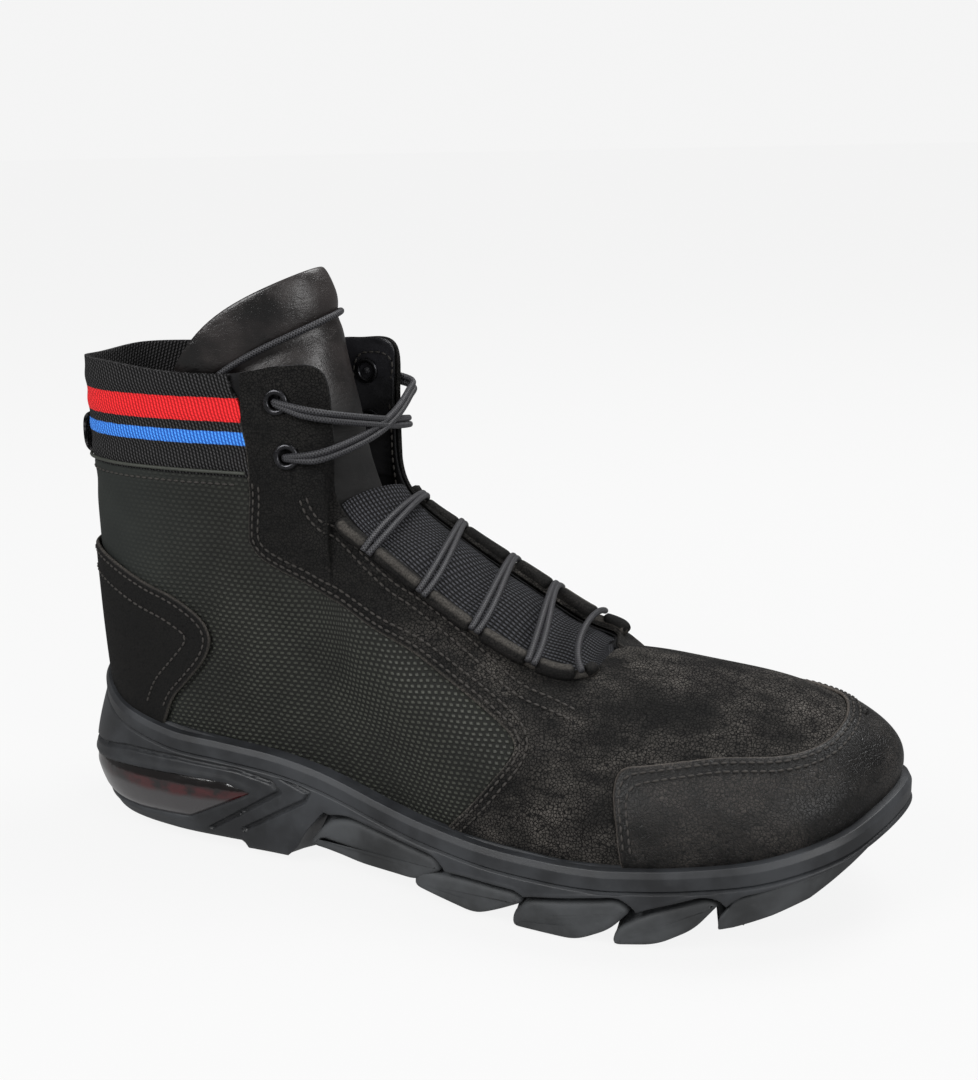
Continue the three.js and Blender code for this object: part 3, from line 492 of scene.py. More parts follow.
@dataclass
class StitchRow:
    """Rows of thread, each stitch a small slanted bead lying in the surface."""

    name: str
    pitch: float = 2.7
    length: float = 2.1
    width: float = 0.85
    bm: bmesh.types.BMesh = field(default_factory=bmesh.new)

    def run(self, points: Array, normals: Array) -> None:
        """Adds one row of stitches along points with outward normals."""
        both = resample(np.hstack([points, normals]), self.pitch)
        for start in range(0, len(both) - 1, 30):
            self._batch(both[start:start + 31, :3], unit(both[start:start + 31, 3:]))

    def _batch(self, p: Array, n: Array) -> None:
        """Adds a few stitches from a small mesh of their own, which is quick."""
        bm = bmesh.new()
        for k in range(len(p) - 1):
            mid, up = (p[k] + p[k + 1]) / 2, n[k]
            ahead = unit((p[k + 1] - p[k])[None])[0]
            across = np.cross(up, ahead)
            m = Matrix.Identity(4)
            half, wide = self.length / 2000, self.width / 2000
            for r in range(3):
                m[r][0], m[r][1], m[r][2] = ahead[r] * half, across[r] * wide, up[r] * wide
            at = to_frame(mid + up * 0.1)
            m[0][3], m[1][3], m[2][3] = at
            bmesh.ops.create_uvsphere(bm, u_segments=6, v_segments=5, radius=1.0,
                                      matrix=m @ Matrix.Rotation(math.pi / 2, 4, "Y"))
        few = bpy.data.meshes.new("few")
        bm.to_mesh(few)
        bm.free()
        self.bm.from_mesh(few)
        bpy.data.meshes.remove(few)

    def done(self, material: Material, slot: str) -> Object:
        """Makes the rows one dressed object."""
        return dress(finish_mesh(self.name, self.bm), material, slot)


class Graph:
    """A material's node tree, with short calls for the nodes that the finishes use."""

    def __init__(self, name: str) -> None:
        """Makes the material with its shader and output."""
        self.material = bpy.data.materials.new(name)
        self.material.use_nodes = True
        self.tree = self.material.node_tree
        self.shader = self.tree.nodes["Principled BSDF"]

    def node(self, kind: str, inputs: dict[str | int, object] | None = None, **props: object) -> bpy.types.Node:
        """Adds a node, sets its properties, and sets or links its inputs."""
        n = self.tree.nodes.new(kind)
        for key, value in props.items():
            setattr(n, key, value)
        for key, value in (inputs or {}).items():
            self.feed(n, key, value)
        return n

    def feed(self, n: bpy.types.Node, key: str | int, value: object) -> None:
        """Links a socket to an input, or sets the input's value."""
        if isinstance(value, Socket):
            self.tree.links.new(value, n.inputs[key])
        elif value is not None:
            n.inputs[key].default_value = value

    def where(self, scale: Sequence[float] = (1000, 1000, 1000), source: str = "Object") -> Socket:
        """Object coordinates, by default in millimetres, or those of another source."""
        at = self.node("ShaderNodeTexCoord").outputs[source]
        return self.node("ShaderNodeMapping", {"Vector": at, "Scale": scale}).outputs[0]

    def parts(self, at: Socket) -> tuple[Socket, ...]:
        """The three parts of a vector."""
        return tuple(self.node("ShaderNodeSeparateXYZ", {0: at}).outputs)

    def chart(self) -> tuple[Socket, ...]:
        """The two parts of the piece's own UV map, in millimetres."""
        return self.parts(self.where((1, 1, 1), "UV"))[:2]

    def noise(self, at: Socket, scale: float, detail: float = 3.0, rough: float = 0.55) -> Socket:
        """Soft noise from 0 to 1."""
        inputs = {"Vector": at, "Scale": scale, "Detail": detail, "Roughness": rough}
        return self.node("ShaderNodeTexNoise", inputs).outputs[0]

    def cells(self, at: Socket, scale: float, feature: str = "DISTANCE_TO_EDGE") -> Socket:
        """Distance in a pattern of cells, by default to their borders."""
        return self.node("ShaderNodeTexVoronoi", {"Vector": at, "Scale": scale}, feature=feature).outputs["Distance"]

    def math(self, op: str, a: object, b: object = None) -> Socket:
        """One step of arithmetic, held between 0 and 1 where its name ends in a star."""
        return self.node("ShaderNodeMath", {0: a, 1: b}, operation=op.strip("*"), use_clamp=op.endswith("*")).outputs[0]

    def mul(self, first: object, *others: object) -> Socket:
        """The product of values."""
        return reduce(lambda a, b: self.math("MULTIPLY", a, b), others, first)

    def add(self, a: object, b: object) -> Socket:
        """The sum of two values."""
        return self.math("ADD", a, b)

    def sine(self, angle: object) -> Socket:
        """The sine of an angle in radians."""
        return self.math("SINE", angle)

    def ramp(self, value: object, low: float, high: float, out_low: float = 0.0, out_high: float = 1.0) -> Socket:
        """A smooth step from low to high."""
        return self.node("ShaderNodeMapRange", {"Value": value, "From Min": low, "From Max": high, "To Min": out_low,
                                                "To Max": out_high}, interpolation_type="SMOOTHSTEP").outputs[0]

    def mix(self, factor: object, a: object, b: object) -> Socket:
        """A colour between two colours."""
        n = self.node("ShaderNodeMix", data_type="RGBA")
        self.feed(n, "Factor", factor)
        for key, value in ((6, a), (7, b)):
            self.feed(n, key, value)
        return n.outputs[2]

    def bump(self, height: Socket, distance: float, strength: float = 1.0,
             under: Socket | None = None) -> Socket:
        """A bump of the given depth in millimetres, on another bump where one is given."""
        return self.node("ShaderNodeBump", {"Height": height, "Distance": distance / 1000, "Strength": strength,
                                            "Normal": under}).outputs[0]

    def edge(self) -> Socket:
        """Distance from the piece's own border in millimetres."""
        return self.node("ShaderNodeAttribute", attribute_name="edge").outputs["Fac"]

    def finish(self, colour: object, roughness: object, normal: Socket | None = None,
               **constants: float) -> Material:
        """Feeds the shader and returns the material."""
        self.feed(self.shader, "Base Color", colour)
        self.feed(self.shader, "Roughness", roughness)
        self.feed(self.shader, "Normal", normal)
        for key, value in constants.items():
            self.shader.inputs[key.replace("_", " ")].default_value = value
        return self.material


def rgb(r: float, g: float, b: float) -> tuple[float, float, float, float]:
    """A display colour from 0 to 255 as the shader's own values."""
    return tuple((c / 255 / 12.92) if c < 10 else ((c / 255 + 0.055) / 1.055) ** 2.4 for c in (r, g, b)) + (1.0,)


@dataclass(frozen=True)
class Nubuck:
    """Dull black leather whose grain has been rubbed pale in patches, with a pale line along its edges that is partly
    wear and partly a painted highlight.
    """

    name: str = "nubuck"
    wear: float = 1.0
    grain: float = 1.0
    far: float = 0.12
    # strength of the pale border line, partly wear and partly painted highlight
    rim: float = 0.7

    def material(self) -> Material:
        """Builds the finish."""
        g = Graph(self.name)
        at = g.where()
        x, _, _ = g.parts(at)
        pits = g.cells(at, 0.95)
        fine = g.noise(at, 1.7, 4, 0.75)
        cloud = g.noise(at, 0.035, 3, 0.6)
        streak = g.noise(g.where((420, 900, 1100)), 0.14, 4, 0.6)
        crack = g.ramp(pits, 0.01, 0.13)
        # Painted highlight, partly wear: a pale line along the piece's border, where its edge would catch the light
        border = g.ramp(g.edge(), 0.9, 0.0)
        rub = g.mul(g.ramp(cloud, 0.3, 0.66), g.ramp(streak, 0.26, 0.7))
        zone = g.ramp(x, -30, 30, self.far, 1.0)
        worn = g.mul(rub, zone, self.wear, g.mul(crack, g.ramp(fine, 0.2, 0.76)))
        rim = g.mul(border, g.ramp(fine, 0.3, 0.7, 0.2 * self.rim, self.rim))
        tops = g.math("ADD*", worn, rim)
        base = g.mix(g.mul(crack, fine), rgb(4, 4, 4), rgb(22, 21, 20))
        colour = g.mix(tops, base, rgb(84, 80, 75))
        normal = g.bump(crack, 0.4, self.grain, g.bump(fine, 0.25, 0.7))
        rough = g.ramp(tops, 0, 1, 0.88, 0.5)
        return g.finish(colour, rough, normal, Specular_IOR_Level=0.2)


@dataclass(frozen=True)
class EmbossedLeather:
    """Dark leather pressed with small staggered scales that fade towards the heel; their pale tops are partly wear and
    partly a painted highlight.
    """

    name: str = "embossed_leather"
    pitch: float = 2.55
    rows: float = 3.1

    def material(self) -> Material:
        """Builds the finish."""
        g = Graph(self.name)
        at = g.where()
        x, z = g.chart()
        drift = g.mul(g.math("SUBTRACT", g.noise(at, 0.03, 2, 0.5), 0.5), 4.0)
        across = g.mul(g.add(x, drift), math.pi / self.pitch)
        up = g.mul(g.add(z, drift), math.pi / self.rows)
        a = g.sine(g.add(across, up))
        b = g.sine(g.math("SUBTRACT", across, up))
        band = g.ramp(g.math("COSINE", g.mul(up, 4.0)), -0.9, 0.5)
        hump = g.mul(g.ramp(g.math("ABSOLUTE", g.mul(a, b)), 0.05, 0.7), band)
        fade = g.ramp(x, 34, 76, 0.15, 1.0)
        high = g.ramp(z, 112, 72, 0.4, 1.0)
        mask = g.mul(fade, high)
        fine = g.noise(at, 1.9, 4, 0.65)
        cloud = g.noise(at, 0.03, 4, 0.6)
        tops = g.mul(hump, mask)
        smooth, pressed = g.mix(cloud, rgb(16, 19, 18), rgb(34, 38, 35)), g.mix(cloud, rgb(6, 7, 5), rgb(20, 21, 17))
        base = g.mix(g.ramp(x, 30, 90), smooth, pressed)
        # Painted highlight, partly wear: the scales' tops are drawn paler against dark gaps, most low on the flank and
        # towards the front
        worn = g.mul(tops, g.ramp(cloud, 0.3, 0.65, 0.45, 1.0))
        colour = g.mix(worn, base, g.mix(fine, rgb(32, 34, 29), rgb(68, 70, 62)))
        normal = g.bump(tops, 0.6, 0.9, g.bump(fine, 0.18, 0.6))
        rough = g.ramp(tops, 0, 1, 0.8, 0.48)
        return g.finish(colour, rough, normal, Specular_IOR_Level=0.3)


@dataclass(frozen=True)
class GrainLeather:
    """Worn black grain leather: creased cells, grey scuffs, a pale border that is partly wear and partly a painted
    highlight, and a dark seam inside it.
    """

    name: str = "grain_leather"
    scuff: float = 0.36

    def material(self) -> Material:
        """Builds the finish."""
        g = Graph(self.name)
        at = g.where()
        cells = g.cells(at, 0.95)
        fine = g.noise(at, 1.7, 4, 0.75)
        cloud = g.noise(at, 0.04, 4, 0.6)
        streak = g.noise(g.where((500, 900, 900)), 0.16, 4, 0.7)
        tile = g.ramp(cells, 0.01, 0.14)
        # Painted highlight, partly wear: a pale line along the cap's border, where its edge would catch the light
        border = g.ramp(g.edge(), 0.7, 0.0)
        patch = g.mul(g.ramp(cloud, 0.4, 0.6, 0.1, 1.0), g.ramp(streak, 0.3, 0.62, 0.4, 1.0))
        seam = g.mul(g.ramp(g.edge(), 1.1, 1.5), g.ramp(g.edge(), 4.6, 3.9))
        worn = g.mul(patch, self.scuff, g.mul(tile, g.ramp(fine, 0.32, 0.68)), g.ramp(seam, 0, 1, 1.0, 0.25))
        pale = g.math("ADD*", worn, g.mul(border, g.ramp(fine, 0.3, 0.7, 0.35, 0.95)))
        base = g.mix(g.mul(tile, fine), rgb(4, 4, 4), rgb(16, 15, 14))
        colour = g.mix(pale, base, rgb(92, 86, 81))
        normal = g.bump(tile, 0.14, 0.7, g.bump(fine, 0.1, 0.6))
        rough = g.ramp(g.mul(cloud, g.add(fine, 0.5)), 0.3, 0.7, 0.36, 0.56)
        return g.finish(colour, rough, normal, Specular_IOR_Level=0.26)


@dataclass(frozen=True)
class SmoothLeather:
    """Soft smooth leather with long fine wrinkles and a satin gloss, duller low in the throat and darkened there by
    painted shade.
    """

    name: str = "smooth_leather"
    dark: tuple[float, float, float] = (8, 7, 7)
    pale: tuple[float, float, float] = (32, 27, 26)
    gloss: float = 0.3

    def material(self) -> Material:
        """Builds the finish."""
        g = Graph(self.name)
        at = g.where()
        cloud = g.noise(at, 0.05, 4, 0.6)
        wrinkle = g.noise(g.where((1000, 500, 1600)), 0.22, 5, 0.6)
        pores = g.cells(at, 1.5, "F1")
        # Painted shade: below about 138 mm the colour stays dark, deep in the throat, and grows paler higher up
        height = g.ramp(g.parts(at)[2], 138, 172)
        colour = g.mix(g.mul(g.ramp(cloud, 0.3, 0.7), height), rgb(*self.dark), rgb(*self.pale))
        normal = g.bump(g.ramp(pores, 0.05, 0.45), 0.07, 0.5, g.bump(wrinkle, 0.9, 0.35))
        rough = g.add(g.ramp(cloud, 0.3, 0.75, self.gloss, self.gloss + 0.16), g.ramp(height, 0, 1, 0.4, 0.0))
        return g.finish(colour, rough, normal, Specular_IOR_Level=0.5)


@dataclass(frozen=True)
class WovenElastic:
    """Ribbed elastic: courses of coarse weave, with a red and a blue stripe on the outside."""

    name: str = "webbing"
    stripes: bool = True

    def material(self) -> Material:
        """Builds the finish."""
        g = Graph(self.name)
        at = g.where()
        wobble = g.noise(at, 0.25, 2, 0.5)
        u, v = g.chart()
        rib = g.sine(g.add(g.mul(u, 2 * math.pi / 1.3), g.mul(v, 1.5)))
        course = g.sine(g.add(g.mul(v, 2 * math.pi / 1.15), g.mul(u, 1.9)))
        fuzz = g.noise(at, 3.2, 2, 0.7)
        thread = g.mul(g.ramp(rib, -0.9, 0.7), g.ramp(course, -1.0, 0.4, 0.35, 1.0))
        colour: object = g.mix(thread, rgb(2, 2, 2), g.mix(fuzz, rgb(20, 20, 21), rgb(76, 75, 76)))
        if self.stripes:
            line = g.add(v, g.mul(wobble, 0.5))
            red = g.mul(g.ramp(line, 16.6, 17.0), g.ramp(line, 24.9, 24.5))
            blue = g.mul(g.ramp(line, 9.0, 9.4), g.ramp(line, 13.7, 13.3))
            colour = g.mix(red, colour, g.mix(g.ramp(thread, 0, 0.6), rgb(150, 16, 20), rgb(232, 44, 48)))
            colour = g.mix(blue, colour, g.mix(g.ramp(thread, 0, 0.6), rgb(26, 70, 150), rgb(70, 140, 226)))
        normal = g.bump(thread, 0.45, 0.9, g.bump(fuzz, 0.1, 0.5))
        return g.finish(colour, 0.88, normal, Specular_IOR_Level=0.14)


@dataclass(frozen=True)
class MeshCloth:
    """Open spacer knit: rows of small dark holes in a grey web."""

    name: str = "mesh_cloth"
    low: tuple[float, float, float] = (3, 3, 3)
    high: tuple[float, float, float] = (76, 77, 82)

    def material(self) -> Material:
        """Builds the finish."""
        g = Graph(self.name)
        u, v = g.chart()
        rib = g.sine(g.mul(v, 2 * math.pi / 1.5))
        knot = g.sine(g.add(g.mul(u, 2 * math.pi / 1.3), g.mul(rib, 1.4)))
        hole = g.math("SUBTRACT", 1.0, g.mul(g.ramp(rib, -0.6, 0.5), g.ramp(knot, -1.0, 0.2, 0.25, 1.0)))
        fuzz = g.noise(g.where(), 3.0, 3, 0.7)
        web = g.mix(fuzz, rgb(34, 35, 38), rgb(*self.high))
        colour = g.mix(hole, web, rgb(*self.low))
        normal = g.bump(g.math("SUBTRACT", 1.0, hole), 0.5, 0.9, g.bump(fuzz, 0.1, 0.5))
        return g.finish(colour, 0.85, normal, Specular_IOR_Level=0.18)


@dataclass(frozen=True)
class BraidedCord:
    """Round elastic cord in a grey sleeve of crossing threads."""

    name: str = "cord"
    low: tuple[float, float, float] = (5, 5, 6)
    high: tuple[float, float, float] = (70, 70, 74)

    def material(self) -> Material:
        """Builds the finish."""
        g = Graph(self.name)
        u, v = g.chart()
        turn = g.mul(v, 2 * math.pi / 3)
        a = g.sine(g.add(g.mul(u, 6.2), turn))
        b = g.sine(g.math("SUBTRACT", g.mul(u, 6.2), turn))
        thread = g.ramp(g.math("MAXIMUM", a, b), -0.1, 0.95)
        fuzz = g.noise(g.where(), 2.6, 2, 0.6)
        colour = g.mix(thread, rgb(*self.low), g.mix(fuzz, rgb(30, 30, 33), rgb(*self.high)))
        return g.finish(colour, 0.55, g.bump(thread, 0.16, 0.8), Specular_IOR_Level=0.4)


@dataclass(frozen=True)
class Rubber:
    """Moulded charcoal rubber: satin, finely pitted, faintly dusty, and painted black as shade in the hollows that its
    edge attribute marks.
    """

    name: str = "sole_rubber"
    low: tuple[float, float, float] = (26, 27, 29)
    high: tuple[float, float, float] = (46, 48, 51)
    rough: float = 0.46

    def material(self) -> Material:
        """Builds the finish."""
        g = Graph(self.name)
        at = g.where()
        cloud = g.noise(at, 0.04, 4, 0.6)
        fine = g.noise(at, 1.6, 3, 0.65)
        dust = g.ramp(g.noise(at, 0.11, 5, 0.7), 0.62, 0.8)
        colour = g.mix(g.ramp(cloud, 0.3, 0.7), rgb(*self.low), rgb(*self.high))
        colour = g.mix(g.mul(dust, 0.12), colour, rgb(96, 96, 94))
        # Painted shade: black where the edge attribute marks the hollows behind the lugs
        colour = g.mix(g.ramp(g.edge(), 0.1, 0.4), colour, rgb(2, 2, 2))
        rough = g.add(g.ramp(cloud, 0.3, 0.7, self.rough - 0.06, self.rough + 0.06), g.mul(fine, 0.1))
        return g.finish(colour, rough, g.bump(fine, 0.06, 0.5), Specular_IOR_Level=0.4)


@dataclass(frozen=True)
class HeelGel:
    """Glossy dark red cushion, blotched and nearly black in its depth."""

    name: str = "cushion"

    def material(self) -> Material:
        """Builds the finish."""
        g = Graph(self.name)
        at = g.where()
        blotch = g.noise(g.where((1000, 1000, 1600)), 0.12, 3, 0.6)
        x, _, z = g.parts(at)
        height = g.add(z, g.mul(x, -0.02))
        low = g.ramp(g.add(height, g.mul(blotch, 2.0)), 25.0, 22.6)
        band = g.mul(g.ramp(height, 27.4, 25.8), g.ramp(x, -132, -108, 0.15, 1.0))
        red = g.mix(g.mul(band, g.ramp(blotch, 0.32, 0.6)), rgb(6, 3, 3), rgb(50, 8, 11))
        colour = g.mix(low, red, rgb(50, 48, 49))
        return g.finish(colour, g.ramp(blotch, 0.3, 0.8, 0.1, 0.2), g.bump(blotch, 0.7, 0.35), Specular_IOR_Level=0.6,
                        Coat_Weight=0.6, Coat_Roughness=0.06)


@dataclass(frozen=True)
class Gunmetal:
    """Dark plated metal with fine rubs."""

    name: str = "gunmetal"

    def material(self) -> Material:
        """Builds the finish."""
        g = Graph(self.name)
        rub = g.noise(g.where(), 0.9, 4, 0.7)
        colour = g.mix(rub, rgb(30, 30, 31), rgb(74, 74, 77))
        return g.finish(colour, g.ramp(rub, 0.3, 0.7, 0.22, 0.42), g.bump(rub, 0.03, 0.5), Metallic=0.95)


@dataclass(frozen=True)
class Plain:
    """A plain cloth, lining or thread with a fine fibre."""

    name: str
    low: tuple[float, float, float]
    high: tuple[float, float, float]
    rough: float = 0.85
    size: float = 1.4

    def material(self) -> Material:
        """Builds the finish."""
        g = Graph(self.name)
        at = g.where()
        fibre = g.noise(at, self.size, 4, 0.7)
        cloud = g.noise(at, 0.06, 3, 0.6)
        colour = g.mix(g.mul(g.add(fibre, cloud), 0.5), rgb(*self.low), rgb(*self.high))
        return g.finish(colour, self.rough, g.bump(fibre, 0.15, 0.6), Specular_IOR_Level=0.2)


class Palette:
    """The finishes of the boot, each built once."""

    def __init__(self) -> None:
        """Builds every material."""
        self.nubuck = Nubuck().material()
        self.counter = Nubuck("nubuck_counter", wear=0.3, grain=0.25).material()
        # The rolls' pale crest is a painted highlight, partly rubbed
        self.roll = Nubuck("nubuck_roll", wear=0.2, grain=0.12, far=1.0, rim=0.5).material()
        self.embossed = EmbossedLeather().material()
        # The folded edge is paler partly as a painted highlight along the fold
        self.fold = Plain("folded_edge", (26, 28, 26), (70, 72, 66), 0.5, 1.8).material()
        self.grain = GrainLeather().material()
        self.tongue = SmoothLeather().material()
        self.flap = SmoothLeather("flap_leather", (12, 12, 14), (38, 38, 42), 0.34).material()
        self.web = WovenElastic().material()
        self.web_plain = WovenElastic("webbing_inside", stripes=False).material()
        self.mesh = MeshCloth().material()
        self.cord = BraidedCord().material()
        self.rubber = Rubber().material()
        self.tread = Rubber("tread_rubber", (34, 35, 36), (58, 60, 62), 0.6).material()
        self.gel = HeelGel().material()
        self.metal = Gunmetal().material()
        self.thread = Plain("thread", (24, 23, 22), (66, 63, 60), 0.6, 2.5).material()
        self.lining = Plain("lining", (8, 8, 9), (24, 24, 25)).material()
        self.insole = Plain("insole_cloth", (16, 16, 17), (40, 40, 42), 0.9, 0.9).material()


QUARTER = np.vstack([
    [(-20, 134), (84, 134), (84, 114)],
    smooth_line([(84, 113), (88, 108), (97, 103.5), (108, 99), (129, 89), (144, 83), (158, 75), (177, 64), (183, 59),
                 (183, 55), (178, 48), (170, 38), (157, 24)], 5),
    [(150, 15), (-20, 15)],
])
CUFF = np.array([(-20, 204), (-20, 136), (84, 136), (83, 145), (80, 157), (76, 165), (76, 204)], dtype=float)
CUFF_ROOM = np.array([(-20, 204), (-20, 134.5), (84.3, 134.5), (83.3, 145), (80.3, 157), (76.3, 165), (76.3, 204)])
COUNTER = np.vstack([
    [(-20, 105)],
    smooth_line([(14, 104), (28, 100), (42, 95), (54, 91.5), (64, 86), (68, 81), (68.5, 76), (65, 69), (58, 61),
                 (51, 53), (43, 36)], 5),
    [(40, 20), (-20, 20)],
])
# The cap's back edge seen from the side, and the horseshoe of its upper edge seen from above
CAP_BACK = np.array([(18, 223), (39, 219), (47, 216.5), (60, 214), (90, 212)])
CAP_TOP = smooth_line([
    (120, -41), (200, -41.5), (219, -39.6), (229, -37.2), (244, -32), (259, -27), (268, -21.5), (274.5, -14),
    (277.6, -5), (277.8, 3), (275.5, 11), (269, 19), (258, 26), (242, 33), (226, 38), (216, 40), (200, 42), (120, 42),
], 6)
THROAT_SEAM = smooth_line([(105, 129), (108, 123), (116, 116), (126, 108), (136, 101), (143, 97), (158, 87), (172, 78),
                           (183, 72), (199, 67)], 5)
EYELETS = (("eyelet_outer_top", 4.9, 0.9), ("eyelet_outer_low", 5.15, 0.76),
           ("eyelet_inner_top", TURN - 5.3, 0.9), ("eyelet_inner_low", TURN - 5.35, 0.76))
# Where each lace bar enters the rolls: its place on the outer and on the inner side
NOTCHES = ((8.75, 8.22), (9.5, 8.88), (10.15, 9.72), (10.85, 10.4), (11.8, 11.32))
# Soft troughs and ridges seen from the side: from x, z, to x, z, half width, depth
CREASES = (
    (86, 128, 104, 108, 4.5, 0.9),
    (90, 118, 116, 101, 6.0, -0.5),
    (10, 128, 34, 116, 5.0, 0.6),
    (44, 124, 78, 116, 6.0, 0.5),
    (72, 104, 96, 84, 7.0, 0.9),
    (84, 92, 118, 62, 9.0, 0.7),
    (60, 76, 84, 50, 6.0, 0.5),
    (112, 84, 150, 66, 8.0, -0.5),
    (128, 60, 150, 44, 6.0, 0.6),
    (176, 76, 200, 54, 4.5, 0.7),
    (196, 70, 214, 46, 4.0, 0.6),
    (206, 76, 226, 62, 4.5, 0.6),
    (188, 40, 208, 34, 4.0, 0.5),
)


def relief(points: Array) -> Array:
    """How far the creases lift or sink the upper, in millimetres."""
    total = np.zeros(len(points))
    for *ends, wide, deep in CREASES:
        total -= deep * np.exp(-(line_distance(np.reshape(ends, (2, 2)), points) / wide) ** 2)
    return total


def depth_in(outline: Array) -> Field:
    """The field of how deep the skin's points lie in an outline seen from the side."""
    def depth(t: Array, s: Array) -> Array:
        """Depth at surface coordinates."""
        return polygon_depth(outline, LAST.skin(t, s))
    return depth


def cap_depth(t: Array, s: Array) -> Array:
    """How deep the skin's points lie in the toe cap, with its corner rounded off."""
    p = LAST.skin(t, s)
    ahead = p[:, 0] - np.interp(p[:, 2], *CAP_BACK.T)
    outside = -polygon_depth(CAP_TOP, p[:, :2])
    soft = 2.2
    return -soft * np.log(np.exp(-np.clip(ahead, -60, 60) / soft) + np.exp(-np.clip(outside, -60, 60) / soft))


def raised(base: float, rounding: float) -> Place:
    """Positions on the skin at an offset that rounds off towards the piece's border."""
    def where(t: Array, s: Array, d: Array) -> Array:
        """Millimetre positions."""
        p = LAST.skin(t, s)
        off = base - rounding * round_drop(d / rounding) + relief(p)
        return p + LAST.normal(t, s) * off[:, None]
    return where


def on_skin(lines: list[Array], offset: float) -> list[tuple[Array, Array]]:
    """Lines of surface coordinates as points with their normals, at an offset."""
    found = []
    for line in lines:
        p, n = LAST.skin(line[:, 0], line[:, 1]), LAST.normal(line[:, 0], line[:, 1])
        found.append((p + n * (offset + relief(p))[:, None], n))
    return found


def side_line(line: Array, side: Side) -> Array:
    """A line seen from the side as surface coordinates on one side of the foot."""
    return np.stack(LAST.locate(line[:, 0], line[:, 1], side), 1)


def roll_frame(t: float) -> tuple[Array, Array, Array, Array]:
    """A place on the rolled throat edge: centre, and directions along it, across it and out."""
    level, lift = 0.95, 1.7
    up = LAST.normal(np.array([t]), np.array([level]))[0]
    path = LAST.spot(t + 0.1, level, lift) - LAST.spot(t - 0.1, level, lift)
    across = unit(np.cross(up, path)[None])[0]
    return LAST.spot(t, level, lift), np.cross(across, up), across, up


def bezier(a: Array, b: Array, c: Array, d: Array, count: int) -> Array:
    """Points of a cubic arc."""
    f = np.linspace(0, 1, count + 1)[:, None]
    return a * (1 - f) ** 3 + 3 * b * f * (1 - f) ** 2 + 3 * c * f * f * (1 - f) + d * f**3


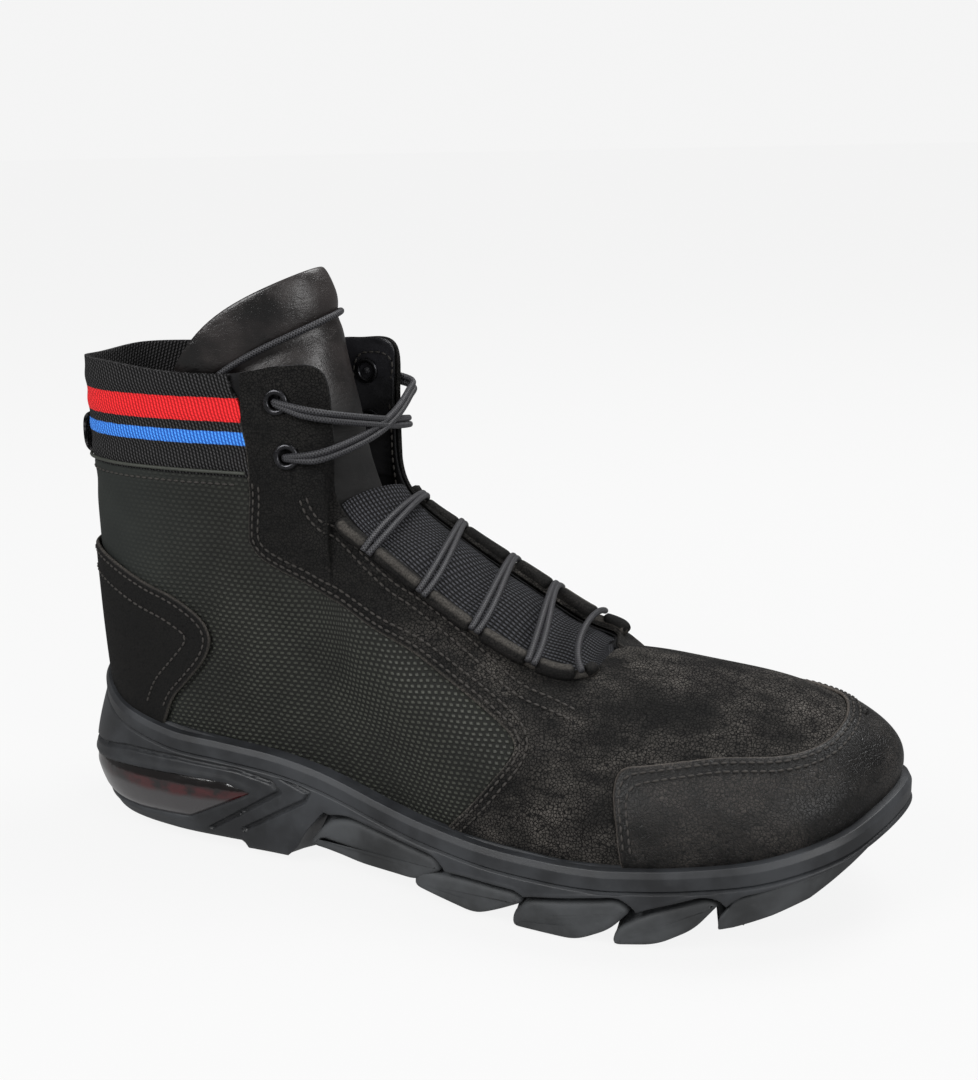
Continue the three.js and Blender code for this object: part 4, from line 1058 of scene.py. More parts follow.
@dataclass
class Upper:
    """The panels of the upper, from the embossed quarter outwards."""

    palette: Palette
    pitch: float = 1.25
    roll: float = 2.7
    last_pad: float = 0.72
    notch: int = 2
    fine: StitchRow = field(default_factory=lambda: StitchRow("upper_stitches"))

    def build(self) -> None:
        """Makes every panel and its seams."""
        self.quarter()
        self.vamp()
        self.counter()
        self.toe_cap()
        self.cuff()
        self.folded_edge()
        self.lining()
        self.rolls()
        self.throat_seams()
        self.fine.done(self.palette.thread, "cord")

    def sew(self, lines: list[Array], offset: float, keep: Field) -> None:
        """Stitches along lines of the skin, where keep of x and z allows it."""
        for p, n in on_skin(lines, offset):
            held = keep(p[:, 0], p[:, 2])
            if held.sum() > 8:
                self.fine.run(p[held], n[held])

    def quarter(self) -> None:
        """The embossed panel round the heel and along both flanks."""
        sheet = Sheet(LAST.spread(-11.8, 11.8, self.pitch), np.linspace(0, 0.9, 84))
        depth = depth_in(QUARTER)
        rows = sheet.cut(depth, [-1.2, 2.4], True)
        run = LAST.spread(-11.8, 11.8, 0.5)
        length = run_length(LAST.skin(run, np.full(len(run), 0.35)))
        back = np.interp(0.0, run, length)

        def uv(t: Array, s: Array) -> Array:
            """Millimetres forward from the back seam, and height above the ground."""
            return np.stack([np.abs(np.interp(t, run, length) - back), LAST.skin(t, s)[:, 2]], 1)

        obj = thicken(sheet.place("quarter", raised(-SIZES.quarter_step, 0.3), depth, uv=uv), SIZES.hide)
        dress(obj, self.palette.embossed, "nubuck", "upper")
        self.sew(rows[1], -SIZES.quarter_step, lambda x, z: (z > 125) & (x < 80))

    def vamp(self) -> None:
        """The nubuck facing and vamp in one piece, with its eyelet holes."""
        quarter, cuff = depth_in(QUARTER), depth_in(CUFF_ROOM)
        holes = [LAST.spot(t, s, 0.0) for _, t, s in EYELETS]

        def depth(t: Array, s: Array) -> Array:
            """Distance from the panel's border."""
            p = LAST.skin(t, s)
            d = np.minimum(-quarter(t, s), -cuff(t, s))
            for hole in holes:
                d = np.minimum(d, np.linalg.norm(p - hole, axis=1) - 3.3)
            return d

        sheet = Sheet(LAST.spread(4.2, TURN - 4.2, self.pitch), np.linspace(0, 1, 96))
        sheet.cut(depth, [0.0, 0.2, 0.6, 1.1], True)
        rows = sheet.cut(lambda t, s: -quarter(t, s), [1.7, 3.9])
        obj = thicken(sheet.place("vamp_and_facing", raised(0.0, 0.5), depth), SIZES.hide, 0.25)
        dress(obj, self.palette.nubuck, "nubuck", "upper")
        self.sew(rows[0] + rows[1], 0.0, lambda x, z: (z < 133) & (z > 26))

    def counter(self) -> None:
        """The nubuck patch round the heel."""
        sheet = Sheet(LAST.spread(-5.6, 5.6, self.pitch), np.linspace(0, 0.62, 66))
        depth = depth_in(COUNTER)
        sheet.cut(depth, [0.0, 0.25, 0.7, 1.3], True)
        rows = sheet.cut(depth, [2.2, 9.2])
        obj = thicken(sheet.place("counter_patch", raised(SIZES.overlay, 1.0), depth), SIZES.overlay_hide)
        dress(obj, self.palette.counter, "nubuck", "heel_counter")
        self.sew(rows[0] + rows[1], SIZES.overlay, lambda x, z: z > 50)

    def toe_cap(self) -> None:
        """The grain leather cap over the toe, with two rows of stitches."""
        sheet = Sheet(LAST.spread(12.0, TURN - 12.0, self.pitch * 0.9), np.linspace(0, 1, 76))
        sheet.cut(cap_depth, [0.0, 0.25, 0.7, 1.3], True)
        rows = sheet.cut(cap_depth, [1.7, 3.7])
        obj = thicken(sheet.place("toe_cap_leather", raised(SIZES.overlay, 1.0), cap_depth), SIZES.overlay_hide)
        dress(obj, self.palette.grain, "grain_leather", "toe_cap")
        self.sew(rows[0] + rows[1], SIZES.overlay, lambda x, z: z > 32)

    def cuff(self) -> None:
        """The striped elastic cuff and its plain inside face."""
        sheet = Sheet(LAST.spread(-6.4, 6.4, 1.3), np.linspace(0.66, 1, 40))
        depth = depth_in(CUFF)
        sheet.cut(depth, [-1.6, 0.0], True)
        run = LAST.spread(-6.4, 6.4, 0.5)
        length = run_length(LAST.skin(run, np.full(len(run), 0.85)))

        def uv(t: Array, s: Array) -> Array:
            """Millimetres round the cuff and up from its seam."""
            return np.stack([np.interp(t, run, length), LAST.skin(t, s)[:, 2] - SIZES.cuff_seam], 1)

        def where(t: Array, s: Array, d: Array) -> Array:
            """The elastic, gently gathered between its courses and drawn in at its rim."""
            p = LAST.skin(t, s)
            up = p[:, 2] - SIZES.cuff_seam
            wave = 0.22 * np.sin(up * 2 * np.pi / 8.5) + 0.18 * np.sin(np.interp(t, run, length) / 5.0)
            return p + LAST.normal(t, s) * (-0.5 + wave - 0.7 * np.exp(-((36 - up) / 3.0) ** 2))[:, None]

        obj = thicken(sheet.place("cuff_elastic", where, depth, uv=uv), SIZES.elastic, 0.5)
        dress(obj, self.palette.web, "webbing", "cuff")
        inner = Sheet(LAST.spread(-6.4, 6.4, 1.6), np.linspace(0.66, 1, 36))
        inner.cut(depth, [0.4], True)
        obj = inner.place("cuff_inside", lambda t, s, d: LAST.at(t, s, -(SIZES.wall + 0.1)), depth, flip=True, uv=uv)
        thicken(obj, SIZES.liner)
        dress(obj, self.palette.web_plain, "webbing")

    def folded_edge(self) -> None:
        """The quarter's turned top edge, lying over the foot of the cuff, pale partly as a painted highlight along the
        fold.
        """
        turns = LAST.spread(-6.35, 6.35, 1.0)
        up = np.linspace(0.5, 1, 60)
        path = []
        for t in turns:
            heights = LAST.skin(np.full(60, t), up)[:, 2]
            path.append(LAST.spot(t, np.interp(SIZES.cuff_seam - 0.3, heights, up), 0.0))
        path = np.array(path)
        obj = tube("quarter_fold", resample(path[path[:, 0] < 83.5], 0.9), 0.6, 8)
        dress(obj, self.palette.fold, "nubuck", "upper")

    def lining(self) -> None:
        """The inside of the boot, from the footbed to the collar and the throat."""
        sheet = Sheet(LAST.spread(0, TURN, 2.4), np.linspace(0, 1, 44))

        def behind(t: Array, s: Array, d: Array) -> Array:
            """The lining follows the creases of the hide."""
            p = LAST.skin(t, s)
            return p + LAST.normal(t, s) * (np.minimum(relief(p), 0) - SIZES.wall - 0.1)[:, None]

        sheet.cut(lambda t, s: -depth_in(CUFF)(t, s), [-1.0], True)
        obj = thicken(sheet.place("lining", behind, None, 0.05, True), SIZES.lining)
        dress(obj, self.palette.lining, "webbing", "upper")
        for side in Side:
            flap = Sheet(np.linspace(4.7, 8.2, 44), np.linspace(0.62, 1, 40))

            def inside(t: Array, s: Array, d: Array) -> Array:
                """A smooth facing lining just clear of the cloth."""
                return LAST.at(side.turn(t), s, -(SIZES.wall + 0.2))

            piece = flap.place(f"facing_lining_{side.name.lower()}", inside, None, 0.02, side is Side.OUTER)
            thicken(piece, 0.5)
            dress(piece, self.palette.flap, "smooth_leather")
            seam = resample(rounded_outline([(4.9, 0.2), (4.9, 0.955), (7.85, 0.955), (7.85, 0.2)], 0.3), 0.05)
            seam = seam[seam[:, 1] > 0.68]
            inward = -LAST.normal(side.turn(seam[:, 0]), seam[:, 1])
            self.fine.run(inside(seam[:, 0], seam[:, 1], seam[:, 1]) + inward * SIZES.liner, inward)

    def rolls(self) -> None:
        """The padded rolls along the throat, parted where the laces enter."""
        for end, side, start in ((0, Side.OUTER, 8.1), (1, Side.INNER, 7.95)):
            node = f"throat_roll_{side.name.lower()}"
            ends = [start, *(pair[end] for pair in NOTCHES), 12.25]
            parts = []
            for k, (a, b) in enumerate(zip(ends[:-1], ends[1:])):
                path = resample(np.array([roll_frame(side.turn(t))[0] for t in np.linspace(a, b, 12)]), 0.8)
                last = k == len(NOTCHES)
                path = path[self.notch if k else 0:len(path) - (0 if last else self.notch)]
                f = np.linspace(-1, 1, len(path))
                swell = np.sqrt(np.clip(1 - np.abs(f) ** 14, 0.25, 1)) * (self.last_pad if last else 1)
                pad = tube(f"{node}_pad_{k + 1}", path, self.roll * swell, 20)
                self.mark_crest_highlight(pad, path, roll_frame(side.turn((a + b) / 2))[3])
                parts.append(pad)
            spots = [roll_frame(side.turn(t)) for t in np.linspace(start, ends[-1], 60)]
            core = np.array([centre - up for centre, _, _, up in spots])
            parts.append(tube(f"{node}_core", resample(core, 0.9), 1.5, 10))
            for part in parts:
                dress(part, self.palette.roll, "nubuck", node)

    def mark_crest_highlight(self, pad: Object, path: Array, up: Array) -> None:
        """Marks a pad's upward-facing crest in the attribute that the finish reads as its pale border: a painted
        highlight, partly rubbed.
        """
        flat = np.zeros(len(pad.data.vertices) * 3)
        pad.data.vertices.foreach_get("co", flat)
        points, line = flat.reshape(-1, 3), to_frame(path)
        nearest = np.argmin(np.linalg.norm(points[:, None] - line[None], axis=2), axis=1)
        # Painted highlight: the pale crest follows the pad's up direction, where light from above falls
        crest = ((points - line[nearest]) * 1000 / self.roll) @ up
        pad.data.attributes.new("edge", "FLOAT", "POINT").data.foreach_set("value", 3.4 * (1 - crest))

    def throat_seams(self) -> None:
        """The double rows that follow the throat on both sides."""
        for side in Side:
            for shift in (0.0, 2.3):
                line = THROAT_SEAM.copy()
                slope = unit(np.gradient(line, axis=0))
                line = line + shift * np.stack([slope[:, 1], -slope[:, 0]], 1)
                (p, n), = on_skin([side_line(line, side)], 0.0)
                self.fine.run(p, n)


@dataclass
class Sole:
    """The cup sole, its heel cushion and its tread."""

    palette: Palette
    corner: float = 2.2

    # How far the rim, the flank and its foot stand out from the last at each rib
    ROWS = ((2.6, 9, 4), (3, 9, 4), (3.6, 8, 4), (4.2, 7, 4), (4.5, 6, 4), (4.5, 5.4, 3.8), (4.5, 5.2, 3.6),
            (4.5, 5, 3.4), (4.5, 5, 3.4), (4.5, 5, 3.4), (4.5, 5, 3.4), (4.5, 5, 3.4), (4.5, 5, 3.4), (4.5, 5, 3.4),
            (4.5, 5, 3.2), (4.6, 5, 2.8), (4.6, 5, 2.4), (4.6, 5, 2), (4.6, 5, 1.6))
    # The lower edge of the flank seen from the side: x and z
    UNDER = np.array([
        (-15, 10), (-8, 8), (0, 7), (10, 6.6), (40, 6.6), (79, 7), (80.5, 4.6), (97, 4.6), (101, 8), (106, 15.5),
        (113, 23.4), (124, 21.5), (140, 18.5), (158, 14), (175, 13), (190, 12), (210, 14), (226, 13.6), (240, 17),
        (251, 16.5), (256, 20.6), (276, 26), (290, 32), (303, 37),
    ]).T
    # Lugs seen from the side: four blocks, and the band that wraps the toe by its lower and upper line
    LUGS = (((105, 9.5), (114, 20), (123, 23.2), (158, 18.6), (161, 15), (150, 7.6), (126, 6.6)),
            ((148, 5.5), (151, 12.6), (170, 14), (188, 13.6), (190, 10.5), (180, 5), (172, 1.2)),
            ((185, 0.5), (186, 6), (191, 11.8), (221, 17.4), (225, 14), (218, 6), (207, 0)),
            ((218, 0.4), (220, 7), (230, 13.4), (247, 19.4), (251, 18), (243, 8), (232, 1.8)))
    BAND = np.array([(250, 8, 12), (255, 9, 19.6), (266, 12.4, 22.8), (276, 16.5, 25.2), (290, 26.5, 31),
                     (303, 35.2, 36.3)]).T
    GAP = 1.9
    CHANNEL = 5.5
    WINDOW = np.array([(-14, 9.6), (-14, 22), (8, 24), (28, 26.5), (53, 28), (74, 28), (84, 25.5), (58, 12.5),
                       (34, 10.5)])
    GROOVES = (np.array([(-12, 27.5), (8, 29), (30, 33), (54, 34), (79, 33.5), (93, 31), (96, 28), (66, 9)]),
               np.array([(97, 33.5), (108, 30), (106, 26.5), (80, 11)]))

    def __post_init__(self) -> None:
        """Lays the rows out once round the foot, and rounds the lugs' outlines."""
        self.loop = np.array([self.ROWS[k if k <= HALF else TURN - k] for k in range(TURN)], dtype=float)
        self.lugs = [rounded_outline(lug, 4.0) for lug in self.LUGS]

    def column(self, t: Array) -> Array:
        """The corners of the sole's flank at t, from the rim down, in millimetres."""
        base, _, _, _, out = LAST.rib(t)
        rim, flank, foot = curve_through(self.loop, t)[0].T
        low = np.minimum(np.interp(base[:, 0], *self.UNDER), base[:, 2] - SIZES.below_rim)
        heel = np.clip((103 - base[:, 0]) / 4, 0, 1)
        z = base[:, 2]
        neck = z - SIZES.rim_height
        band = neck - SIZES.rim_groove
        spots = [(rim - 3.2, z + 0.9), (rim - 0.6, z + 0.8), (rim + 0.4, z - 1.2), (rim + 0.4, neck),
                 (rim - 0.8, neck - 0.4), (rim + 0.6, band), (flank, band * 0.45 + low * 0.55), (foot, low),
                 (foot - 1.6, low - 0.8 * heel), (foot - 8, low * (1 - 0.48 * heel)),
                 (foot - 15 - 3 * heel, low * (1 - heel))]
        return np.stack([np.stack([base[:, 0] + out[:, 0] * r, base[:, 1] + out[:, 1] * r, h], 1) for r, h in spots], 1)

    def surface(self, t: Array, k: Array) -> Array:
        """Points of the flank: whole k are its corners, each softly rounded."""
        corners = self.column(t)
        i = np.clip(np.floor(k).astype(int), 0, 9)
        f = (k - i)[:, None]
        rows = np.arange(len(t))
        straight = corners[rows, i] * (1 - f) + corners[rows, i + 1] * f
        a = corners[rows, np.clip(i - 1, 0, 10)]
        b, c = corners[rows, i], corners[rows, i + 1]
        d = corners[rows, np.clip(i + 2, 0, 10)]
        return np.where((i >= 5)[:, None], arc(a, b, c, d, f), straight)

    def build(self) -> None:
        """Makes the sole's pieces."""
        self.midsole()
        self.cushion()
        self.tread()

    def midsole(self) -> None:
        """The side wall with its rim, the lines cut in it and the window's frame."""
        rim = [0, 0.9, 0.97, 1.03, 1.12, 1.88, 1.97, 2.03, 2.12, 2.9, 2.97, 3.03, 3.2, 3.8, 4, 4.2, 4.8, 5]
        levels = np.concatenate([rim, np.linspace(5.03, 7, 44), [7.5, 8, 9, 10]])
        sheet = Sheet(LAST.spread(0, TURN, 1.3), levels)

        def groove(t: Array, k: Array) -> Array:
            """Distance to the nearest cut line."""
            p = self.surface(t, k)
            return np.where(k > 5, np.min([line_distance(line, p) for line in self.GROOVES], axis=0), 9.0)

        def frame_depth(t: Array, k: Array) -> Array:
            """Depth in the window."""
            return np.where(k > 5, polygon_depth(self.WINDOW, self.surface(t, k)), -9.0)

        def recess(t: Array, k: Array) -> Array:
            """Depth in the hollows that the lugs stand in."""
            p = self.surface(t, k)
            deep = np.max([polygon_depth(lug, p) for lug in self.lugs], axis=0)
            return np.where(k > 5, deep + self.GAP, -9.0)

        sheet.cut(groove, [0.5, 0.85, 1.4])
        sheet.cut(frame_depth, [-1.2, -0.3, 0.25])
        sheet.cut(recess, [-0.5, 0.0, 0.5])

        def where(t: Array, k: Array, d: Array) -> Array:
            """The flank with its lines sunk, its window let in and a raised lip round it."""
            p = self.surface(t, k)
            out = LAST.rib(t)[4]
            g = np.clip((1.0 - groove(t, k)) / 0.5, 0, 1)
            w = frame_depth(t, k)
            sink = 1.4 * g * g * (3 - 2 * g) + 3.4 * np.clip((w + 0.1) / 0.4, 0, 1)
            lip = 0.5 * np.exp(-((w + 1.4) / 1.1) ** 2) * (w < 0)
            hollow = recess(t, k)
            sink = sink + 6.0 * np.clip((hollow + 0.2) / 0.6, 0, 1)
            lip = lip + 0.35 * np.exp(-((hollow + 0.9) / 0.7) ** 2) * (hollow < 0)
            return p - out * (sink - lip)[:, None]

        # The depth in the lugs' hollows is kept as the edge attribute, which the rubber paints black as shade
        obj = sheet.place("midsole_wall", where, lambda t, k: np.maximum(recess(t, k), 0), 0.03)
        bm = bmesh.new()
        bm.from_mesh(obj.data)
        bmesh.ops.holes_fill(bm, edges=[e for e in bm.edges if e.is_boundary], sides=0)
        for f in bm.faces:
            f.smooth = len(f.verts) < 20
        bm.to_mesh(obj.data)
        bm.free()
        dress(obj, self.palette.rubber, "sole_rubber", "midsole")

    def cushion(self) -> None:
        """The glossy window of the heel, swelling a little out of its frame."""
        sheet = Sheet(LAST.spread(-6.6, 6.6, 1.2), np.linspace(5.03, 7, 40))

        def depth(t: Array, k: Array) -> Array:
            """Depth in the window."""
            return polygon_depth(self.WINDOW, self.surface(t, k))

        sheet.cut(depth, [0.1, 0.5, 1.2, 2.2], True)

        def where(t: Array, k: Array, d: Array) -> Array:
            """The gel's face."""
            p = self.surface(t, k)
            swell = -2.4 + 1.7 * np.sqrt(np.clip(d / 3.2, 0, 1))
            return p + LAST.rib(t)[4] * swell[:, None]

        obj = thicken(sheet.place("heel_gel", where, depth), SIZES.gel)
        dress(obj, self.palette.gel, "cushion", "heel_cushion")

    def foot_line(self, x: Array, side: Side) -> Array:
        """Where the foot of the flank lies across the boot at x."""
        t = side.turn(np.linspace(1, 17, 260))
        base, _, _, _, out = LAST.rib(t)
        line = base[:, :2] + out[:, :2] * curve_through(self.loop, t)[0][:, 2:]
        order = np.argsort(line[:, 0])
        return np.interp(x, line[order, 0], line[order, 1])

    def tread(self) -> None:
        """The ground lugs on both sides of the channel, and the band round the toe."""
        for k, outline in enumerate(self.lugs):
            for side in Side:
                self.lug(f"lug_{k + 1}_{side.name.lower()}", outline, side)
        self.toe_band()

    def lug(self, name: str, outline: Array, side: Side) -> None:
        """One block with a softly rounded face, flush with the flank, that ends at the channel."""
        ring = resample(np.vstack([outline, outline[:1]]), 1.1)[:-1]
        middle = ring.mean(axis=0)
        along = unit(np.roll(ring, -1, 0) - np.roll(ring, 1, 0))
        inward = np.stack([-along[:, 1], along[:, 0]], 1)
        inward *= np.sign(((middle - ring) * inward).sum(axis=1).sum())
        soft = self.corner
        inner = ring + inward * soft
        tilt, rise = np.polyfit(inner[:, 0], inner[:, 1], 1)
        spine = np.stack([np.clip(inner[:, 0], inner[:, 0].min() + 2, inner[:, 0].max() - 2), inner[:, 1]], 1)
        spine[:, 1] = spine[:, 0] * tilt + rise
        rows = [(spine + (inner - spine) * f, 0.0, 0.0) for f in (0.4, 0.7, 0.88)]
        rows += [(ring + inward * soft * (1 - math.sin(a)), soft * (1 - math.cos(a)), 0.0)
                 for a in np.linspace(0, math.pi / 2, 6)]
        tall = ring + np.array([0.0, 3.0]) * np.clip((ring[:, 1:] - ring[:, :1] * tilt - rise) / 3, 0, 1)
        rows += [(ring, soft, 0.03)] + [(tall, soft, f) for f in (0.12, 0.35, 0.6, 0.85, 1.0)]
        channel = self.CHANNEL * (-1 if side is Side.OUTER else 1)
        points = []
        for flat, recede, f in rows:
            y = self.foot_line(flat[:, 0], side)
            low = np.interp(flat[:, 0], *self.UNDER)
            y = y - np.sign(y) * (recede - 0.5 + 2.2 * np.clip(1 - flat[:, 1] / (low + 2), 0, 1) ** 1.5)
            points.append(np.stack([flat[:, 0], y * (1 - f) + channel * f, flat[:, 1]], 1))
        bm = bmesh.new()
        grid = [[bm.verts.new(p) for p in to_frame(row)] for row in points]
        count = len(ring)
        for a, b in zip(grid[:-1], grid[1:]):
            for i in range(count):
                bm.faces.new((a[i], a[(i + 1) % count], b[(i + 1) % count], b[i]))
        bm.faces.new(grid[0])
        bm.faces.new(grid[-1])
        bmesh.ops.recalc_face_normals(bm, faces=bm.faces[:])
        dress(finish_mesh(name, bm), self.palette.tread, "sole_rubber", "outsole")

    def toe_band(self) -> None:
        """The lug that wraps the toe as a band below the flank."""
        turns = np.linspace(8, 17, 90)
        start = float(np.interp(248, LAST.rib(turns)[0][:, 0], turns))
        sheet = Sheet(LAST.spread(start, TURN - start, 1.3), np.linspace(0, 1, 15))

        def foot(t: Array) -> tuple[Array, Array, Array, Array]:
            """The foot of the flank with the band's lower and upper height there."""
            base, _, _, _, out = LAST.rib(t)
            p = base + out * curve_through(self.loop, t)[0][:, 2:]
            return p, out, *(np.interp(p[:, 0], self.BAND[0], heights) for heights in self.BAND[1:])

        def depth(t: Array, v: Array) -> Array:
            """Distance from the band's border."""
            p, _, low, high = foot(t)
            return np.min([v * (high - low), (1 - v) * (high - low), p[:, 0] - 250.5], axis=0)

        sheet.cut(depth, [0.02, 0.4, 0.9], True)

        def where(t: Array, v: Array, d: Array) -> Array:
            """The band's face."""
            p, out, low, high = foot(t)
            stand = 0.4 - 1.4 * round_drop(d / 1.4) - 1.6 * (1 - v)
            q = p + out * stand[:, None]
            q[:, 2] = low + v * (high - low)
            return q

        obj = thicken(sheet.place("lug_toe", lambda t, v, d: where(t, v, depth(t, v))), SIZES.toe_lug)
        dress(obj, self.palette.tread, "sole_rubber", "outsole")


@dataclass
class Trims:
    """Tongue, gusset, insole, pull loop, eyelets and laces."""

    palette: Palette

    TONGUE = np.array([(192, 59.5, 15, 3), (163.5, 73.1, 18, 5), (139.5, 90.1, 18, 8), (121.5, 108.8, 18, 13),
              (111.9, 132.6, 18.5, 22), (108.9, 156.4, 20.5, 34), (105, 176.8, 22.5, 48), (102, 188.7, 24, 54),
              (98.4, 201, 24.5, 52)])
    CROSSINGS = (
        ((110, -26.5, 158), (120, -10, 154), (121.5, 6, 150.5), (119, 22, 147.5)),
        ((112, -27.5, 145), (120, -12, 149), (122, 4, 153), (121, 19, 158), (118.5, 26, 160.5)),
    )

    def build(self) -> None:
        """Makes every trim."""
        self.tongue()
        self.gusset()
        self.insole()
        self.pull_loop()
        for name, t, s in EYELETS:
            self.eyelet(name, t, s)
        self.laces()

    def tongue_point(self, row: Array, u: Array) -> Array:
        """A point of the tongue's middle layer: row from its toe end up, u across it from -1 to 1."""
        top = len(self.TONGUE) - 1
        v, rate = curve_through(self.TONGUE, np.clip(row, 0, top - 0.001), False)
        path = unit(rate[:, :2])
        back = np.stack([-path[:, 1], np.zeros(len(row)), path[:, 0]], 1)
        back = back * np.where(back[:, 0:1] > 0, -1, 1)
        angle = u * 0.92 * np.pi / 2
        curl = 1 - np.cos(angle)
        share = row / top
        p = np.stack([v[:, 0], np.zeros(len(row)), v[:, 1]], 1) + back * (v[:, 3] * curl)[:, None]
        p[:, 1] += v[:, 2] * np.sin(angle)
        p[:, 2] -= share * share * (8 * curl + 12 * np.abs(u) ** 7)
        return p

    def tongue(self) -> None:
        """The padded tongue of smooth leather."""
        sheet = Sheet(np.linspace(2.2, 8, 90), np.linspace(-1, 1, 60))

        def where(row: Array, u: Array, d: Array) -> Array:
            """The padded face with its soft dents."""
            p = self.tongue_point(row, u)
            e = 0.02
            along = self.tongue_point(np.clip(row + e, 0, 8), u) - self.tongue_point(np.clip(row - e, 0, 8), u)
            across = self.tongue_point(row, np.clip(u + e, -1, 1)) - self.tongue_point(row, np.clip(u - e, -1, 1))
            n = unit(np.cross(across, along))
            rim = np.minimum(1 - np.abs(u), (8 - row) / 3.0)
            swell = 1.4 * np.sqrt(np.clip(rim / 0.25, 0, 1))
            dent = 0.9 * np.sin(row * 1.9 + u * 2.4) * np.exp(-(u / 0.8) ** 2)
            dent = dent - 1.3 * np.exp(-((row - 6.55 - u * 0.6) / 0.35) ** 2)
            return p + n * (swell + dent)[:, None]

        obj = thicken(sheet.place("tongue_pad", where, flip=True), SIZES.pad, 0.6)
        dress(obj, self.palette.tongue, "smooth_leather", "tongue")

    def gusset(self) -> None:
        """The open knit that bridges the throat under the laces."""
        def bridge(t: float) -> Array:
            """One section across the throat."""
            arms = []
            for side in Side:
                arms.append([LAST.spot(side.turn(t), s, -3.7) for s in (0.82, 0.91, 1.0)])
            reach = float(np.linalg.norm(arms[0][2] - arms[1][2])) / 3
            lead = []
            for a in arms:
                step = unit((a[2] - a[1])[None])[0] * reach
                step[2] = min(step[2], 4.0)
                lead.append(a[2] + step)
            arc = bezier(arms[0][2], lead[0], lead[1], arms[1][2], 10)
            return np.vstack([arms[0][:2], arc, arms[1][1::-1]])

        rows = np.array([bridge(t) for t in np.linspace(8.0, 12.6, 24)])
        sheet = Sheet(np.linspace(0, 23, 120), np.linspace(0, 14, 56))

        def at(a: Array, b: Array) -> Array:
            """A point between the sections."""
            flat = rows.reshape(len(rows), -1)
            line = curve_through(flat, a, False)[0].reshape(len(a), rows.shape[1], 3)
            i = np.clip(np.floor(b).astype(int), 0, rows.shape[1] - 2)
            f = (b - i)[:, None]
            r = np.arange(len(a))
            return line[r, i] * (1 - f) + line[r, i + 1] * f

        def where(a: Array, b: Array, d: Array) -> Array:
            """The knit, pressed down under each lace and puffed up between them."""
            p = at(a, b)
            middle = np.exp(-((b - 7) / 4.5) ** 2)
            p[:, 2] += middle * (0.9 * np.sin(a * 2 * np.pi / 5.2 + 0.6) - 0.5)
            return p

        obj = sheet.place("gusset_knit", where, uv=lambda a, b: np.stack([a * 4.2, b * 3.6], 1), flip=True)
        thicken(obj, SIZES.knit)
        dress(obj, self.palette.mesh, "mesh_cloth", "gusset")

    def insole(self) -> None:
        """The cloth footbed."""
        bm = bmesh.new()
        bm.from_mesh(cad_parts["insole"].data)
        bmesh.ops.remove_doubles(bm, verts=bm.verts[:], dist=1e-5)
        dress(finish_mesh("footbed", bm, False), self.palette.insole, "webbing", "insole")

    def pull_loop(self) -> None:
        """The folded strap on the back of the heel."""
        x, z = 7.8, 141.1
        line = smooth_line([(x + 2, z + 8), (x - 3, z + 7.8), (x - 6.1, z + 4.8), (x - 6.5, z - 3.8),
                            (x - 3.7, z - 7.4), (x + 2, z - 8)], 6)
        sheet = Sheet(np.linspace(0, len(line) - 1, 40), np.linspace(-7.5, 7.5, 16))

        def where(a: Array, b: Array, d: Array) -> Array:
            """The strap's outer face."""
            places = np.arange(len(line))
            return np.stack([np.interp(a, places, line[:, 0]), b, np.interp(a, places, line[:, 1])], 1)

        obj = sheet.place("heel_strap", where, uv=lambda a, b: np.stack([b, a * 0.9], 1), flip=True)
        thicken(obj, SIZES.strap, 0.3)
        dress(obj, self.palette.web_plain, "webbing", "pull_loop")

    def eyelet(self, name: str, t: float, s: float) -> None:
        """One rolled metal ring."""
        up = LAST.normal(np.array([t]), np.array([s]))[0]
        centre = LAST.spot(t, s, 0.5)
        side = unit(np.cross(up, [0.0, 0.0, 1.0])[None])[0]
        other = np.cross(up, side)
        for part, wide, thick, sink in (("ring", 3.45, 0.95, 0.0), ("back", 3.7, 0.8, 4.0)):
            bm = bmesh.new()
            bmesh.ops.create_grid(bm, x_segments=40, y_segments=12, size=0.5)
            for v in bm.verts:
                p, q = (v.co.x + 0.5) * 2 * math.pi, (v.co.y + 0.5) * 2 * math.pi
                ring = wide + thick * math.cos(q)
                lift = 0.75 * math.sin(q) - sink
                v.co = to_frame(centre + ring * (math.cos(p) * side + math.sin(p) * other) + up * lift)
            bmesh.ops.remove_doubles(bm, verts=bm.verts[:], dist=1e-6)
            bmesh.ops.recalc_face_normals(bm, faces=bm.faces[:])
            dress(finish_mesh(f"{name}_{part}", bm), self.palette.metal, "gunmetal", name)

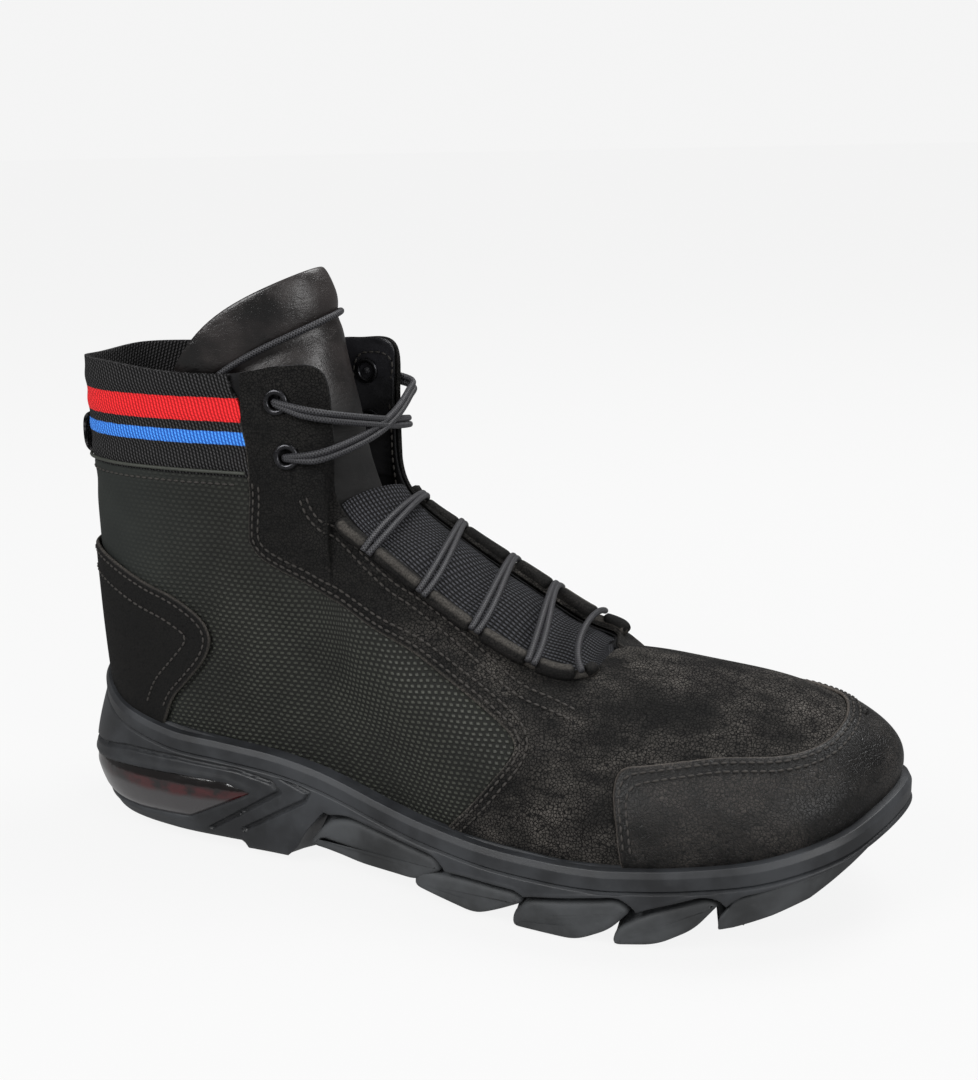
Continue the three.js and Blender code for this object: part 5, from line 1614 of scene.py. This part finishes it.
    def laces(self) -> None:
        """The laces: bars between the notches, the crossing at the eyelets and the cord on the tongue."""
        for k, (t, across_t) in enumerate(NOTCHES):
            ends = []
            for place in (t, TURN - across_t):
                centre, _, across, up = roll_frame(place)
                start = centre + up * 2.2
                inward = across * -np.sign(across[1] * start[1])
                ends.append((start - inward * 2.5, start + inward * 11 + np.array([0, 0, 0.8])))
            ahead = unit((roll_frame(t)[1] * np.array([1, 0, 1]))[None])[0]
            count = 2 if k < 4 else 1
            for n in range(count):
                shift = (n - (count - 1) / 2) * 2.15
                lean = 1.4 if n else -1.0
                path = bezier(ends[0][0], ends[0][1] + ahead * lean, ends[1][1] - ahead * lean, ends[1][0], 60)
                self.cord(f"lace_bar_{k + 1}_{'ab'[n]}", path + ahead * shift, f"lace_bar_{k + 1}")
        pairs = ((EYELETS[0], EYELETS[3]), (EYELETS[1], EYELETS[2]))
        for k, (route, (first, last)) in enumerate(zip(self.CROSSINGS, pairs)):
            ins = []
            for _, t, s in (first, last):
                ins.append([LAST.spot(t, s, -3.4), LAST.spot(t, s, 0.2)])
            points = np.vstack([ins[0], route, ins[1][::-1]])
            line = resample(smooth_line(points, 12), 0.7)
            for n, drop in enumerate((0.0, -2.2)):
                path = line.copy()
                f = np.sin(np.linspace(0, np.pi, len(path)))
                path[:, 2] += drop * np.minimum(f * 2.2, 1) - 1.2 * f
                path[:, 0] += (0.5 if n else 0) * f
                self.cord(f"lace_cross_{k + 1}_{'ab'[n]}", path, "lace_crossing")
        places = smooth_line([(6.3, -0.85), (6.42, -0.6), (6.55, -0.3), (6.68, 0.0), (6.8, 0.3), (6.85, 0.6)], 8)
        e = 0.05
        row, u = places[:, 0], places[:, 1]
        up = self.tongue_point(row + e, u) - self.tongue_point(row - e, u)
        across = self.tongue_point(row, u + e) - self.tongue_point(row, u - e)
        path = self.tongue_point(row, u) + unit(np.cross(across, up)) * 1.9
        self.cord("tongue_lace", resample(path, 0.7), "tongue_cord")

    def cord(self, name: str, path: Array, node: str) -> None:
        """One braided strand."""
        dress(tube(name, resample(path, 0.6), SIZES.lace, 12, 0.05), self.palette.cord, "cord", node)


@dataclass
class Studio:
    """Pale floor, soft light and the camera."""

    target: tuple[float, float, float] = (154.25, 8.98, 108.38)
    azimuth: float = 23.14
    height: float = 15.59
    distance: float = 512.9
    roll: float = -1.56
    focal: float = 1497.0 / 1080.0 * 36.0

    def build(self) -> None:
        """Sets the stage."""
        self.camera()
        self.floor()
        self.lights()

    def camera(self) -> None:
        """The camera at the photograph's angle."""
        az, el, roll = (math.radians(v) for v in (self.azimuth, self.height, self.roll))
        back = Vector((math.sin(az) * math.cos(el), -math.cos(az) * math.cos(el), math.sin(el)))
        right = Vector((math.cos(az), math.sin(az), 0.0))
        up = back.cross(right)
        turned = right * math.cos(roll) + up * math.sin(roll)
        above = up * math.cos(roll) - right * math.sin(roll)
        aim = Vector(to_frame(np.array(self.target)))
        cam = bpy.data.objects.new("camera", bpy.data.cameras.new("camera"))
        place = aim + back * (self.distance / 1000)
        rows = [[turned[i], above[i], back[i], place[i]] for i in range(3)] + [[0, 0, 0, 1]]
        cam.matrix_world = Matrix(rows)
        cam.data.lens, cam.data.sensor_width = self.focal, 36.0
        cam.data.clip_start, cam.data.clip_end = 0.01, 50
        bpy.context.scene.collection.objects.link(cam)
        bpy.context.scene.camera = cam

    def floor(self) -> None:
        """A wide pale floor."""
        bm = bmesh.new()
        bmesh.ops.create_grid(bm, x_segments=1, y_segments=1, size=12)
        mesh = bpy.data.meshes.new("floor")
        bm.to_mesh(mesh)
        bm.free()
        obj = bpy.data.objects.new("floor", mesh)
        bpy.context.scene.collection.objects.link(obj)
        g = Graph("floor")
        tone = g.noise(g.where((1, 1, 1)), 3.0, 2)
        obj.data.materials.append(g.finish(g.mix(tone, rgb(58, 58, 58), rgb(60, 60, 60)), 0.9,
                                           Specular_IOR_Level=0.0))
        g.shader.inputs["Emission Color"].default_value = (1, 1, 1, 1)
        rays = g.node("ShaderNodeLightPath").outputs["Is Glossy Ray"]
        g.feed(g.shader, "Emission Strength", g.ramp(rays, 0, 1, 0.875, 0.3))

    def lights(self) -> None:
        """A white surround and three soft boxes."""
        world = bpy.data.worlds.new("studio")
        bpy.context.scene.world = world
        world.use_nodes = True
        tree = world.node_tree
        split = tree.nodes.new("ShaderNodeSeparateXYZ")
        fall = tree.nodes.new("ShaderNodeMapRange")
        tree.links.new(tree.nodes.new("ShaderNodeTexCoord").outputs["Generated"], split.inputs[0])
        tree.links.new(split.outputs[2], fall.inputs["Value"])
        for key, value in (("From Min", 0.12), ("From Max", 0.4), ("To Min", 0.91), ("To Max", 0.5)):
            fall.inputs[key].default_value = value
        rays, strength = tree.nodes.new("ShaderNodeLightPath"), fall.outputs[0]
        for kind, value in (("Is Glossy Ray", 0.16), ("Is Camera Ray", 0.91)):
            pick = tree.nodes.new("ShaderNodeMix")
            pick.inputs["B"].default_value = value
            tree.links.new(rays.outputs[kind], pick.inputs["Factor"])
            tree.links.new(strength, pick.inputs["A"])
            strength = pick.outputs[0]
        tree.links.new(strength, tree.nodes["Background"].inputs[1])
        tree.nodes["Background"].inputs[0].default_value = (1, 1, 1, 1)
        bpy.context.scene.view_settings.view_transform = "Standard"
        for name, at, size, power in (("key", (-0.45, -0.9, 0.9), 0.6, 14.0), ("rim", (0.35, 0.5, 1.2), 0.7, 16.0),
                                      ("front", (1.1, -0.7, 0.6), 0.5, 9.0)):
            lamp = bpy.data.lights.new(name, "AREA")
            lamp.size, lamp.energy = size, power
            obj = bpy.data.objects.new(name, lamp)
            obj.location = at
            obj.rotation_euler = (Vector((0, 0, 0.08)) - Vector(at)).to_track_quat("-Z", "Y").to_euler()
            bpy.context.scene.collection.objects.link(obj)


def main() -> None:
    """Builds the boot on its stage."""
    logging.basicConfig(level=logging.INFO, format="%(relativeCreated)d %(name)s: %(message)s")
    Studio().build()
    palette = Palette()
    Upper(palette).build()
    Sole(palette).build()
    Trims(palette).build()


if __name__ == "__main__":
    main()
